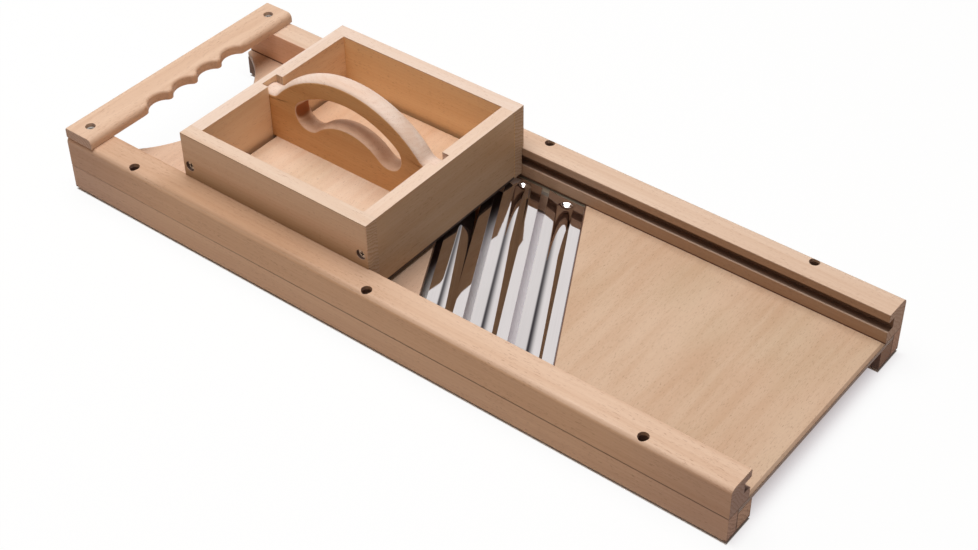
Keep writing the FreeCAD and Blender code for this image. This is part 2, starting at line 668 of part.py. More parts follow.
for number, centre in enumerate(hollows):
    start = touch(centre, cusps[number + 1])
    end = touch(centre, cusps[number])
    index = arc(scallops, centre, hollow_radius, start, end)
    hold_point(scallops, index, 3, SCALLOP_X, hollow_y[number])
    hold(scallops, Sketcher.Constraint("Radius", index, hollow_radius), SCALLOP_RADIUS)
    scallops.addConstraint(Sketcher.Constraint("Tangent", cusp_arcs[number], 2, index, 2))
    scallops.addConstraint(Sketcher.Constraint("Tangent", index, 1, cusp_arcs[number + 1], 1))
for index, point in ((cusp_arcs[0], 1), (cusp_arcs[-1], 2)):
    hold(scallops, Sketcher.Constraint("DistanceX", -1, 1, index, 3, value(END_CUSP_X)), END_CUSP_X)
    scallops.addConstraint(Sketcher.Constraint("Horizontal", index, point, index, 3))
outside = value(OUTSIDE_X)
closing = [crowns[-1], (outside, crowns[-1][1]), (outside, crowns[0][1]), crowns[0]]
lines = []
for start, end in zip(closing, closing[1:]):
    segment = Part.LineSegment(FreeCAD.Vector(*start, 0), FreeCAD.Vector(*end, 0))
    lines.append(scallops.addGeometry(segment, False))
outline_chain = [cusp_arcs[-1], *lines, cusp_arcs[0]]
for first, second in zip(outline_chain, outline_chain[1:]):
    scallops.addConstraint(Sketcher.Constraint("Coincident", first, 2, second, 1))
scallops.addConstraint(Sketcher.Constraint("Horizontal", lines[0]))
scallops.addConstraint(Sketcher.Constraint("Vertical", lines[1]))
scallops.addConstraint(Sketcher.Constraint("Horizontal", lines[2]))
hold(scallops, Sketcher.Constraint("DistanceX", -1, 1, lines[1], 1, outside), OUTSIDE_X)
pocket(bar, scallops, f"dims.bar_thickness + {2 * BEYOND}")

bar_mouths = new_sketch(bar, "XY_Plane", BAR_TOP)
bar_shafts = new_sketch(bar, "XY_Plane", BAR_TOP)
for name, side in SIDES:
    circle(bar_mouths, BAR_SCREW_X, f"{side} * {BAR_SCREW_Y}", "dims.counterbore_diameter")
    circle(bar_shafts, BAR_SCREW_X, f"{side} * {BAR_SCREW_Y}", PILOT_DIAMETER)
pocket(bar, bar_mouths, "dims.bar_counterbore_depth")
pocket(bar, bar_shafts, f"dims.bar_thickness + {BEYOND}")
nodes.append(bar)

BAR_SCREW_SEAT = f"({BAR_TOP} - dims.bar_counterbore_depth)"
bar_screws = []
for name, side in SIDES:
    where = (BAR_SCREW_X, f"{side} * {BAR_SCREW_Y}", BAR_SCREW_SEAT)
    bar_screws.append(screw(f"{name}_bar_screw", "pan", "dims.bar_screw_length", where))
nodes.append(group("handle_bar_screws", bar_screws))

# Feed box walls
# Four beech boards with butt joints, screwed through the sides into the end walls. Below the rail tops the
# sides are rebated to pass between the rails. The end walls have an upright groove, stopped at the bottom,
# for the pusher's board.
ENDS = (("back", BOX_BACK, f"({BOX_BACK} + dims.corner_screw_inset)"),
        ("front", f"({BOX_FRONT} - dims.box_wall)", f"({BOX_FRONT} - dims.corner_screw_inset)"))
corner_screws = []
corner_holes = {}
for name, side in SIDES:
    tilt = -90 * side
    for end, start, screw_x in ENDS:
        where = (screw_x, f"{side} * ({BOX_SIDE} - dims.corner_screw_sink)", CORNER_SCREW_Z, tilt)
        corner_screws.append(screw(f"{name}_{end}_screw", "flat", "dims.corner_screw_length", where))
        corner_holes[name, end] = screw_hole(f"{name}_{end}_hole", "flat", "dims.corner_screw_length", where,
                                             f"(dims.corner_screw_sink + {BEYOND})")

for name, side in SIDES:
    label = f"box_{name}_wall"
    board = new_body(f"{label}_board")
    face = new_sketch(board, "XZ_Plane", f"-{side} * {BOX_INSIDE}")
    rectangle(face, BOX_BACK, BOX_FRONT, BOX_BOTTOM, BOX_TOP)
    pad(board, face, "dims.box_wall", reverse=side > 0)
    rebate = new_sketch(board, "YZ_Plane", f"{BOX_BACK} - {BEYOND}")
    rectangle(rebate, f"{side} * {BOX_LOWER_SIDE}", f"{side} * ({BOX_SIDE} + {BEYOND})",
              f"{BOX_BOTTOM} - {BEYOND}", SHOULDER)
    pocket(board, rebate, f"dims.box_length + {2 * BEYOND}", reverse=True)
    seat = new_sketch(board, "YZ_Plane", TONGUE_START)
    rectangle(seat, f"{side} * {TONGUE_INNER}", f"{side} * ({BOX_LOWER_SIDE} + {BEYOND})",
              TONGUE_LOW, TONGUE_HIGH)
    pocket(board, seat, TONGUE_LENGTH, reverse=True)
    nodes.append(bored(label, board, [corner_holes[name, end] for end, start, screw_x in ENDS]))

for end, start, screw_x in ENDS:
    label = f"box_{end}_wall"
    board = new_body(f"{label}_board")
    face = new_sketch(board, "YZ_Plane", start)
    rectangle(face, f"-{BOX_INSIDE}", BOX_INSIDE, BOX_BOTTOM, BOX_TOP)
    pad(board, face, "dims.box_wall")
    inner_face = f"({start} + dims.box_wall)" if end == "back" else start
    slot = new_sketch(board, "YZ_Plane", inner_face)
    slot_half = "(dims.board_thickness / 2 + dims.board_clearance)"
    rectangle(slot, f"-{slot_half}", slot_half, SLOT_FLOOR, f"{BOX_TOP} + {BEYOND}")
    pocket(board, slot, "dims.slot_depth", reverse=end == "front")
    nodes.append(bored(label, board, [corner_holes[name, end] for name, side in SIDES]))
nodes.append(group("box_corner_screws", corner_screws))

# Guide tongues
# Hardwood strips glued into seats in the box's sides, which run in the rails' grooves.
for name, side in SIDES:
    tongue = new_body(f"{name}_guide_tongue")
    section = new_sketch(tongue, "YZ_Plane", TONGUE_START)
    outer = f"{side} * {TONGUE_OUTER}"
    rectangle(section, f"{side} * {TONGUE_INNER}", outer, TONGUE_LOW, TONGUE_HIGH)
    pad(tongue, section, TONGUE_LENGTH)
    fillet(tongue, "dims.edge_round", lambda edge: flat_at(edge, "Y", outer))
    nodes.append(tongue)

# Pusher plate
# A plywood plate that fits inside the box with a gap all round and is screwed to the board from below.
pusher_screws = []
pusher_holes = []
for number in range(PUSHER_SCREWS):
    x = f"({BOX_MIDDLE} + {number - (PUSHER_SCREWS - 1) / 2} * dims.pusher_screw_spacing)"
    where = (x, "0", PLATE_UNDER, 180)
    pusher_screws.append(screw(f"pusher_screw_{number + 1}", "flat", "dims.pusher_screw_length", where))
    pusher_holes.append(screw_hole(f"pusher_hole_{number + 1}", "flat", "dims.pusher_screw_length", where))

plate = new_body("pusher_plate_board")
outline = new_sketch(plate, "XY_Plane", PLATE_UNDER)
rectangle(outline, f"{BOX_MIDDLE} - {PLATE_HALF_LENGTH}", f"{BOX_MIDDLE} + {PLATE_HALF_LENGTH}",
          f"-{PLATE_HALF_WIDTH}", PLATE_HALF_WIDTH)
pad(plate, outline, "dims.plate_thickness")
fillet(plate, "dims.plate_round", lambda edge: not runs_along(edge, "Z"))
nodes.append(bored("pusher_plate", plate, pusher_holes))

# Pusher handle
# A board with an arched grip over a kidney-shaped finger hole. Its toes slide in the end walls' grooves.
# The hole is four arcs that run into each other: the palm arc, a lobe at each end and the hump between them.
board = new_body("pusher_handle_board")
profile = new_sketch(board, "XZ_Plane", "-dims.board_thickness / 2")
left = f"({BOX_MIDDLE} - {BOARD_HALF_LENGTH})"
right = f"({BOX_MIDDLE} + {BOARD_HALF_LENGTH})"
toe_left = f"({BOX_MIDDLE} - {TOE_INNER})"
toe_right = f"({BOX_MIDDLE} + {TOE_INNER})"
corners = [(left, PLATE_TOP), (right, PLATE_TOP), (right, TOE_TOP), (toe_right, TOE_TOP),
           (toe_left, TOE_TOP), (left, TOE_TOP)]
points = [(value(x), value(z)) for x, z in corners]
sides = []
for start, end in zip(points, points[1:] + points[:1]):
    if end == points[4]:
        grip = arc(profile, (value(BOX_MIDDLE), value(GRIP_CENTRE)), value(GRIP_RADIUS), start, end)
        sides.append(grip)
    else:
        segment = Part.LineSegment(FreeCAD.Vector(*start, 0), FreeCAD.Vector(*end, 0))
        sides.append(profile.addGeometry(segment, False))
for first, second in zip(sides, sides[1:] + sides[:1]):
    profile.addConstraint(Sketcher.Constraint("Coincident", first, 2, second, 1))
for corner in (0, 1, 2, 5):
    hold_point(profile, sides[corner], 1, *corners[corner])
for flat in (sides[2], sides[4]):
    profile.addConstraint(Sketcher.Constraint("Horizontal", flat))
hold_point(profile, grip, 3, BOX_MIDDLE, GRIP_CENTRE)
hold(profile, Sketcher.Constraint("Radius", grip, value(GRIP_RADIUS)), GRIP_RADIUS)
pad(board, profile, "dims.board_thickness")
fillet(board, "dims.toe_sweep", lambda edge: runs_along(edge, "Y") and flat_at(edge, "Z", TOE_TOP)
       and (flat_at(edge, "X", toe_left) or flat_at(edge, "X", toe_right)))

finger_hole = new_sketch(board, "XZ_Plane", f"dims.board_thickness / 2 + {BEYOND}")
middle_x = value(BOX_MIDDLE)
palm_centre = (middle_x, value(GRIP_CENTRE))
hump_centre = (middle_x, value(HUMP_CENTRE))
palm_radius = value(PALM_RADIUS)
lobe_radius = value("dims.lobe_radius")
hump_radius = value(HUMP_RADIUS)
lobes = {side: (middle_x + side * value(LOBE_X), value(LOBE_Z)) for side in (-1, 1)}


def towards(start, through, distance):
    """The point at a distance from start on the line through another point."""
    step = (through[0] - start[0], through[1] - start[1])
    length = (step[0] ** 2 + step[1] ** 2) ** 0.5
    return (start[0] + step[0] * distance / length, start[1] + step[1] * distance / length)


palm_touch = {side: towards(palm_centre, lobes[side], palm_radius) for side in lobes}
hump_touch = {side: towards(hump_centre, lobes[side], hump_radius) for side in lobes}
palm = arc(finger_hole, palm_centre, palm_radius, palm_touch[1], palm_touch[-1])
left_lobe = arc(finger_hole, lobes[-1], lobe_radius, palm_touch[-1], hump_touch[-1])
hump = arc(finger_hole, hump_centre, hump_radius, hump_touch[1], hump_touch[-1])
right_lobe = arc(finger_hole, lobes[1], lobe_radius, hump_touch[1], palm_touch[1])
for first, first_end, second, second_end in (
        (palm, 2, left_lobe, 1), (left_lobe, 2, hump, 2), (hump, 1, right_lobe, 1), (right_lobe, 2, palm, 1)):
    finger_hole.addConstraint(Sketcher.Constraint("Tangent", first, first_end, second, second_end))
hold_point(finger_hole, palm, 3, BOX_MIDDLE, GRIP_CENTRE)
hold(finger_hole, Sketcher.Constraint("Radius", palm, palm_radius), PALM_RADIUS)
hold(finger_hole, Sketcher.Constraint("Radius", hump, hump_radius), HUMP_RADIUS)
for lobe in (left_lobe, right_lobe):
    hold(finger_hole, Sketcher.Constraint("Radius", lobe, lobe_radius), "dims.lobe_radius")
    hold(finger_hole, Sketcher.Constraint("DistanceY", -1, 1, lobe, 3, value(LOBE_Z)), LOBE_Z)
pocket(board, finger_hole, f"dims.board_thickness + {2 * BEYOND}")


def grip_edge(edge):
    """True for the outline edges of the board's two faces, but not along its foot or up its ends."""
    half = "dims.board_thickness / 2"
    on_face = flat_at(edge, "Y", half) or flat_at(edge, "Y", f"-{half}")
    return on_face and not flat_at(edge, "Z", PLATE_TOP) and not runs_along(edge, "Z")


fillet(board, "dims.grip_round", grip_edge)
nodes.append(bored("pusher_handle", board, pusher_holes))
nodes.append(group("pusher_screws", pusher_screws))

# Check and write
doc.recompute()
for item in doc.Objects:
    if "Invalid" in item.State or "Error" in item.State:
        raise RuntimeError(f"{item.Label} failed: {item.State}")
for node in nodes:
    if node.Shape.isNull() or not node.Shape.isValid():
        raise RuntimeError(f"{node.Label} has no valid shape")
os.makedirs("parts", exist_ok=True)
for node in nodes:
    node.Shape.exportStep(f"parts/{node.Label}.step")
    print(node.Label, len(node.Shape.Solids), round(node.Shape.Volume))
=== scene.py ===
import math

import bpy
import numpy as np
from mathutils import Matrix


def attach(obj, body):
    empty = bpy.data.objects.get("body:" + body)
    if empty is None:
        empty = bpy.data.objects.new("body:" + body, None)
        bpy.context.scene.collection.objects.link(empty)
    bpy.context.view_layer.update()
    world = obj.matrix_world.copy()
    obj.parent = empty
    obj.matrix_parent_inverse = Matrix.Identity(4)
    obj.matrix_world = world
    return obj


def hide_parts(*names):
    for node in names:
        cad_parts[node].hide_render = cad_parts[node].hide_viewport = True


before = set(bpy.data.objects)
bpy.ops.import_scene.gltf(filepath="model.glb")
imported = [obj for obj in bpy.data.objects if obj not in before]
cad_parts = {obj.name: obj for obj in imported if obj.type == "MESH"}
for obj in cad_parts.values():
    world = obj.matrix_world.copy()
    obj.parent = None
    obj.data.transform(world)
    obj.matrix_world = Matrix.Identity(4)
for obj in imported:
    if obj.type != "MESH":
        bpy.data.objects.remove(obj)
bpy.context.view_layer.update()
MM = 0.001


# Base rails and bed battens
# Planed beech strips glued side by side, which the slicer stands on. The outer strip shows along the whole
# side with long soft growth lines, short ray flecks and darker end grain.
def shade(red, green, blue):
    """A colour from its display values, 0 to 255, as the linear numbers that shaders take."""
    display = np.array([red, green, blue]) / 255.0
    linear = np.where(display <= 0.04045, display / 12.92, ((display + 0.055) / 1.055) ** 2.4)
    return (*linear.tolist(), 1.0)


def add(tree, kind, inputs=None, **settings):
    """A node with its properties set; each input is a plain value or another node's output."""
    made = tree.nodes.new(kind)
    for name, setting in settings.items():
        setattr(made, name, setting)
    for socket, source in (inputs or {}).items():
        if isinstance(source, bpy.types.NodeSocket):
            tree.links.new(source, made.inputs[socket])
        else:
            made.inputs[socket].default_value = source
    return made


def new_group(name, inputs, outputs):
    """An empty node group with named sockets, and the two nodes that hold them."""
    tree = bpy.data.node_groups.new(name, "ShaderNodeTree")
    for label, kind in inputs:
        tree.interface.new_socket(label, in_out="INPUT", socket_type=f"NodeSocket{kind}")
    for label, kind in outputs:
        tree.interface.new_socket(label, in_out="OUTPUT", socket_type=f"NodeSocket{kind}")
    return tree, tree.nodes.new("NodeGroupInput").outputs, tree.nodes.new("NodeGroupOutput").inputs


def stretched_noise(tree, position, along, across, detail=2.0, roughness=0.5):
    """Noise drawn out along the grain: features about along and across metres long."""
    scaled = add(tree, "ShaderNodeVectorMath", {0: position, 1: (1 / along, 1 / across, 1 / across)},
                 operation="MULTIPLY")
    return add(tree, "ShaderNodeTexNoise", {"Vector": scaled.outputs["Vector"], "Scale": 1.0,
                                            "Detail": detail, "Roughness": roughness}).outputs["Fac"]


def ramp(tree, source, low, high, to_low=0.0, to_high=1.0):
    """A smooth step of a value between two limits."""
    return add(tree, "ShaderNodeMapRange", {"Value": source, "From Min": low, "From Max": high,
                                            "To Min": to_low, "To Max": to_high},
               interpolation_type="SMOOTHSTEP").outputs["Result"]


def blend(tree, factor, first, second, mode="MIX"):
    """Two colours mixed by a factor."""
    mixed = add(tree, "ShaderNodeMix", data_type="RGBA", blend_type=mode, clamp_factor=True)
    for socket, source in ((mixed.inputs[0], factor), (mixed.inputs[6], first), (mixed.inputs[7], second)):
        if isinstance(source, bpy.types.NodeSocket):
            tree.links.new(source, socket)
        else:
            socket.default_value = source
    return mixed.outputs[2]


def math_node(tree, operation, *sources):
    """One arithmetic step on values or outputs."""
    return add(tree, "ShaderNodeMath", dict(enumerate(sources)), operation=operation).outputs["Value"]


def size_of(tree, value):
    """A value without its sign."""
    return math_node(tree, "ABSOLUTE", value)


def apart(tree, value, middle):
    """How far a value lies from a middle, to either side."""
    return size_of(tree, math_node(tree, "SUBTRACT", value, middle))


def both(tree, first, second):
    """The product of two masks."""
    return math_node(tree, "MULTIPLY", first, second)


def either(tree, first, *others):
    """The largest of several masks."""
    for other in others:
        first = math_node(tree, "MAXIMUM", first, other)
    return first


def tinted(tree, colour, tint):
    """A colour multiplied by a tint."""
    return blend(tree, 1.0, colour, tint, "MULTIPLY")


def own_place(tree):
    """The X, Y and Z of a point on the piece."""
    coordinates = add(tree, "ShaderNodeTexCoord")
    return add(tree, "ShaderNodeSeparateXYZ", {"Vector": coordinates.outputs["Object"]}).outputs


def make_beech_figure():
    """Beech cut from a log: rings at even steps of the distance from the pith, bent by noise, over broad
    streaks, fine fibres and short dark ray flecks, all drawn out along the first axis. The board's faces,
    square to the second axis, take a tint that paints light and shade on them, and its ends show pores and
    rings."""
    tree, given, result = new_group(
        "beech_figure",
        [("Position", "Vector"), ("Normal", "Vector"), ("Pale", "Color"), ("Warm", "Color"),
         ("Fleck", "Color"), ("End", "Color"), ("Side Light", "Color"), ("Fleck Amount", "Float"),
         ("Streak Amount", "Float")],
        [("Color", "Color"), ("Roughness", "Float"), ("Height", "Float")])
    position = given["Position"]
    bend = stretched_noise(tree, position, 0.22, 0.020, 2.0)
    across = add(tree, "ShaderNodeVectorMath", {0: position, 1: (0.0, 1.0, 1.0)}, operation="MULTIPLY")
    distance = add(tree, "ShaderNodeVectorMath", {0: across.outputs["Vector"]}, operation="LENGTH")
    bent = math_node(tree, "MULTIPLY_ADD", bend, 0.012, distance.outputs["Value"])
    cycle = math_node(tree, "FRACT", math_node(tree, "DIVIDE", bent, 0.0031))
    ring = ramp(tree, cycle, 0.25, 1.0)
    streak = ramp(tree, stretched_noise(tree, position, 0.30, 0.011, 3.0), 0.32, 0.70)
    fibre = stretched_noise(tree, position, 0.020, 0.00045, 2.0)
    dash = ramp(tree, stretched_noise(tree, position, 0.0048, 0.00062, 1.0), 0.60, 0.72)
    patch = ramp(tree, stretched_noise(tree, position, 0.05, 0.012, 2.0), 0.35, 0.65)
    lines = math_node(tree, "MULTIPLY_ADD", ring, 0.22, math_node(tree, "MULTIPLY", streak, 0.55))
    tone = math_node(tree, "MULTIPLY", lines, given["Streak Amount"])
    body = blend(tree, tone, given["Pale"], given["Warm"])
    body = blend(tree, ramp(tree, fibre, 0.30, 0.75, 0.0, 0.22), body, given["Warm"])
    dashes = both(tree, dash, given["Fleck Amount"])
    dashes = both(tree, dashes, math_node(tree, "MULTIPLY_ADD", patch, 0.7, 0.3))
    body = blend(tree, dashes, body, given["Fleck"])
    facing = add(tree, "ShaderNodeSeparateXYZ", {"Vector": given["Normal"]}).outputs
    ends = ramp(tree, size_of(tree, facing["X"]), 0.75, 0.92)
    flat = ramp(tree, size_of(tree, facing["Y"]), 0.80, 0.95)
    body = blend(tree, flat, body, tinted(tree, body, given["Side Light"]))
    pores = add(tree, "ShaderNodeTexNoise", {"Vector": position, "Scale": 1600.0, "Detail": 2.0})
    pore = ramp(tree, pores.outputs["Fac"], 0.35, 0.70)
    end_tone = math_node(tree, "MULTIPLY_ADD", ring, 0.35, math_node(tree, "MULTIPLY", pore, 0.45))
    end_wood = blend(tree, end_tone, given["End"], given["Fleck"])
    tree.links.new(blend(tree, ends, body, end_wood), result["Color"])
    rough = math_node(tree, "MULTIPLY_ADD", fibre, 0.22, 0.42)
    tree.links.new(math_node(tree, "MULTIPLY_ADD", ends, 0.2, rough), result["Roughness"])
    relief = math_node(tree, "SUBTRACT", math_node(tree, "MULTIPLY", fibre, 0.5), dashes)
    tree.links.new(relief, result["Height"])
    return tree


beech_figure = make_beech_figure()
PALE_RAIL = shade(231, 200, 175)
WARM_RAIL = shade(212, 174, 145)
FLECK_RAIL = shade(160, 112, 82)
END_RAIL = shade(208, 184, 170)
WHITE = (1.0, 1.0, 1.0, 1.0)
ALONG_X = (0.0, 0.0, 0.0)
ALONG_Y = (0.0, 0.0, math.pi / 2)


def wood_coordinates(tree, turn, offset):
    """Object position and normal turned so that the grain runs along the first axis."""
    coordinates = add(tree, "ShaderNodeTexCoord")
    position = add(tree, "ShaderNodeMapping", {"Vector": coordinates.outputs["Object"], "Rotation": turn,
                                               "Location": offset})
    normal = add(tree, "ShaderNodeMapping", {"Vector": coordinates.outputs["Normal"], "Rotation": turn},
                 vector_type="NORMAL")
    return position.outputs["Vector"], normal.outputs["Vector"]


def finish_wood(tree, figure, edge, relief, marks=None):
    """Puts a figure's colour, roughness and relief on a shader, with arrises softened over edge metres; marks
    may paint shade, light and dark joints on the colour first."""
    colour = marks(tree, figure.outputs["Color"]) if marks else figure.outputs["Color"]
    arris = add(tree, "ShaderNodeBevel", {"Radius": edge}, samples=6)
    bump = add(tree, "ShaderNodeBump", {"Height": figure.outputs["Height"], "Distance": relief,
                                        "Strength": 0.6, "Normal": arris.outputs["Normal"]})
    shader = add(tree, "ShaderNodeBsdfPrincipled", {
        "Base Color": colour, "Roughness": figure.outputs["Roughness"],
        "Normal": bump.outputs["Normal"], "Specular IOR Level": 0.35})
    output = add(tree, "ShaderNodeOutputMaterial")
    tree.links.new(shader.outputs["BSDF"], output.inputs["Surface"])


def new_material(name):
    """An empty node material and its tree."""
    material = bpy.data.materials.new(name)
    material.use_nodes = True
    material.node_tree.nodes.clear()
    return material, material.node_tree


def beech(name, turn, offset, pale=PALE_RAIL, warm=WARM_RAIL, fleck=FLECK_RAIL, end=END_RAIL,
          face=WHITE, flecks=0.5, streaks=0.9, edge=0.0004, marks=None):
    """A beech board: turn lays the grain, offset picks its place in the log, face tints its flat sides with
    painted light and shade.
    """
    material, tree = new_material(name)
    position, normal = wood_coordinates(tree, turn, offset)
    figure = add(tree, "ShaderNodeGroup", node_tree=beech_figure)
    for socket, source in (("Position", position), ("Normal", normal)):
        tree.links.new(source, figure.inputs[socket])
    for socket, setting in (("Pale", pale), ("Warm", warm), ("Fleck", fleck), ("End", end),
                            ("Side Light", face), ("Fleck Amount", flecks), ("Streak Amount", streaks)):
        figure.inputs[socket].default_value = setting
    finish_wood(tree, figure, edge, 0.00012, marks)
    return material


def dress(node, material):
    """Gives a CAD node its finish."""
    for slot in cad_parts[node].material_slots:
        slot.material = material


# SHADE_AND_JOINT_DARK is painted shade in grooves, holes, creases and under parts, and the colour of dark
# joints.
SHADE_AND_JOINT_DARK = shade(80, 42, 25)
END_START = 334.5 * MM
SEAM_HEIGHT = 26.0 * MM
GROOVE_MIDDLE = 43.0 * MM
GROOVE_HALF = 5.0 * MM
GROOVE_BACK = 108.2 * MM
RAIL_INNER = 100.2 * MM
RAIL_TOP = 55.0 * MM
BORE_LINE = 120.25 * MM
BORE_REACH = 4.7 * MM
BORE_MOUTH = 53.0 * MM
GLUE_LINE = 114.0 * MM
BATTEN_INNER = 95.1 * MM
HANDLE_TINT = (0.84, 0.77, 0.71, 1.0)
# BOX_SHADOW_TINT is painted shade of the feed box on the near rails' top; it stays when the box slides.
BOX_SHADOW_TINT = (0.69, 0.60, 0.51, 1.0)
SIDE_END_TINT = (0.80, 0.78, 0.84, 1.0)


def end_marks(tree, place):
    """A mask of the ends' lines: painted shade along the foot's chamfer, and the dark glue joint of base rail
    and batten.
    """
    at_end = ramp(tree, size_of(tree, place["X"]), END_START, END_START + 2.0 * MM)
    foot = ramp(tree, place["Z"], 3.0 * MM, 4.5 * MM, 0.95, 0.0)
    from_joint = apart(tree, size_of(tree, place["Y"]), GLUE_LINE)
    joint = both(tree, ramp(tree, from_joint, 0.4 * MM, 0.9 * MM, 0.8, 0.0),
                 ramp(tree, place["Z"], SEAM_HEIGHT, SEAM_HEIGHT + 0.2 * MM, 1.0, 0.0))
    return both(tree, at_end, either(tree, foot, joint))


def rail_marks(tree, colour):
    """Darkens the seam between base rail and guide rail as a dark joint and puts on the ends' lines; paints
    shade inside the guide groove, along the foot of the inner side and in the screw holes."""
    place = own_place(tree)
    height = place["Z"]
    across = size_of(tree, place["Y"])
    seam = both(tree, ramp(tree, apart(tree, height, SEAM_HEIGHT), 0.3 * MM, 0.9 * MM, 1.0, 0.0),
                ramp(tree, place["X"], -0.28, 0.05, 0.12, 0.55))
    level = ramp(tree, apart(tree, height, GROOVE_MIDDLE), GROOVE_HALF, GROOVE_HALF + 0.4 * MM, 1.0, 0.0)
    inside = both(tree, level, ramp(tree, across, RAIL_INNER, RAIL_INNER + 2 * MM, 0.0, 0.75))
    inside = both(tree, inside, ramp(tree, across, GROOVE_BACK, GROOVE_BACK + MM, 1.0, 0.0))
    at_bed = both(tree, ramp(tree, height, SEAM_HEIGHT + 0.8 * MM, SEAM_HEIGHT + 1.8 * MM, 0.9, 0.0),
                  ramp(tree, across, RAIL_INNER, RAIL_INNER + 0.5 * MM, 1.0, 0.0))
    bore = both(tree, ramp(tree, height, BORE_MOUTH - MM, BORE_MOUTH, 0.8, 0.0),
                ramp(tree, apart(tree, across, BORE_LINE), BORE_REACH, BORE_REACH + 0.5 * MM, 1.0, 0.0))
    bore = both(tree, bore, ramp(tree, size_of(tree, place["X"]), 0.33, 0.332, 1.0, 0.0))
    return blend(tree, either(tree, seam, inside, at_bed, bore, end_marks(tree, place)), colour, SHADE_AND_JOINT_DARK)


def near_marks(tree, colour):
    """The rails' marks on a tone that changes along the near rails: on top, painted shade of the feed box
    beside its rest place, and darker towards the handle; on the side, darker towards both ends."""
    place = own_place(tree)
    handle = blend(tree, ramp(tree, place["X"], -0.23, -0.18), HANDLE_TINT, WHITE)
    box_shadow = both(tree, ramp(tree, place["X"], -0.245, -0.215),
                      ramp(tree, place["X"], -0.11, 0.07, 1.0, 0.0))
    on_top = blend(tree, box_shadow, handle, BOX_SHADOW_TINT)
    at_ends = either(tree, ramp(tree, place["X"], -0.34, -0.20, 1.0, 0.0), ramp(tree, place["X"], 0.20, 0.34))
    on_side = blend(tree, at_ends, WHITE, SIDE_END_TINT)
    tint = blend(tree, ramp(tree, place["Z"], RAIL_TOP - 3.0 * MM, RAIL_TOP), on_side, on_top)
    return rail_marks(tree, tinted(tree, colour, tint))


def batten_marks(tree, colour):
    """Darkens the ends' lines, and paints shade on the handle end under the bar and on the inner side under
    the free end.
    """
    place = own_place(tree)
    under_bar = ramp(tree, place["X"], -290.0 * MM, -265.0 * MM, 0.8, 0.0)
    inner = ramp(tree, size_of(tree, place["Y"]), BATTEN_INNER, BATTEN_INNER + 0.4 * MM, 0.85, 0.0)
    under_bed = both(tree, inner, ramp(tree, place["X"], 0.2, 0.3))
    return blend(tree, either(tree, under_bar, under_bed, end_marks(tree, place)), colour, SHADE_AND_JOINT_DARK)


END_BASE = shade(238, 206, 184)
END_FAR = shade(214, 180, 164)
END_BATTEN = shade(232, 200, 180)
# The far batten's end grain is painted in shade, darker than the near batten's.
SHADED_FAR_BATTEN_END = shade(158, 128, 112)
# BASE_SIDE_SHADE is a tint of painted shade on the base rails' sides.
BASE_SIDE_SHADE = (0.97, 0.92, 0.85, 1.0)
dress("near_base_rail", beech("near_base_beech", ALONG_X, (0.1, 0.17, 0.06), end=END_BASE, face=BASE_SIDE_SHADE,
                              marks=near_marks))
dress("far_base_rail", beech("far_base_beech", ALONG_X, (0.5, 0.05, 0.09), end=END_FAR, face=BASE_SIDE_SHADE,
                             marks=rail_marks))
dress("near_bed_batten", beech("near_batten_beech", ALONG_X, (0.9, 0.15, 0.04), end=END_BATTEN,
                                marks=batten_marks))
dress("far_bed_batten", beech("far_batten_beech", ALONG_X, (1.3, -0.06, 0.08), end=SHADED_FAR_BATTEN_END,
                               marks=batten_marks))

# Bed boards
# Thin plywood faced with a rotary-cut veneer whose soft figure runs across the slicer. The cut edges show
# the plies in turn, and the face has a thin sealer.
PLY = 1.25 * MM


def reach_along(tree, vector, direction):
    """How far a vector reaches along a direction."""
    return add(tree, "ShaderNodeVectorMath", {0: vector, 1: direction},
               operation="DOT_PRODUCT").outputs["Value"]


def make_veneer_figure():
    """Rotary veneer: wide blotches and thin streaks drawn out along the first axis; on the edges, plies of
    even thickness turn from pale to dark with height."""
    tree, given, result = new_group(
        "veneer_figure",
        [("Position", "Vector"), ("Normal", "Vector"), ("Pale", "Color"), ("Warm", "Color"),
         ("Dark", "Color")],
        [("Color", "Color"), ("Roughness", "Float"), ("Height", "Float")])
    position = given["Position"]
    blotch = ramp(tree, stretched_noise(tree, position, 0.16, 0.045, 3.0), 0.30, 0.70)
    streak = ramp(tree, stretched_noise(tree, position, 0.09, 0.0075, 3.0), 0.36, 0.70)
    fibre = stretched_noise(tree, position, 0.012, 0.0005, 2.0)
    pore = ramp(tree, stretched_noise(tree, position, 0.0035, 0.00045, 1.0), 0.60, 0.74)
    tone = math_node(tree, "MULTIPLY_ADD", blotch, 0.45, math_node(tree, "MULTIPLY", streak, 0.45))
    face = blend(tree, tone, given["Pale"], given["Warm"])
    face = blend(tree, ramp(tree, fibre, 0.3, 0.8, 0.0, 0.25), face, given["Warm"])
    cloud = ramp(tree, stretched_noise(tree, position, 0.10, 0.07, 2.0), 0.45, 0.75, 0.0, 0.35)
    face = blend(tree, cloud, face, tinted(tree, face, (0.86, 0.92, 0.86, 1.0)))
    face = blend(tree, math_node(tree, "MULTIPLY", pore, 0.45), face, given["Dark"])
    height = add(tree, "ShaderNodeSeparateXYZ", {"Vector": position}).outputs["Z"]
    layer = math_node(tree, "PINGPONG", math_node(tree, "DIVIDE", height, PLY), 1.0)
    ply_tone = ramp(tree, layer, 0.35, 0.65)
    edge = blend(tree, ply_tone, given["Warm"], given["Dark"])
    edge = blend(tree, ramp(tree, fibre, 0.35, 0.8, 0.0, 0.4), edge, given["Dark"])
    upright = reach_along(tree, given["Normal"], (0.0, 0.0, 1.0))
    on_edge = ramp(tree, size_of(tree, upright), 0.45, 0.75, 1.0, 0.0)
    tree.links.new(blend(tree, on_edge, face, edge), result["Color"])
    tree.links.new(math_node(tree, "MULTIPLY_ADD", fibre, 0.2, 0.36), result["Roughness"])
    tree.links.new(math_node(tree, "SUBTRACT", fibre, pore), result["Height"])
    return tree


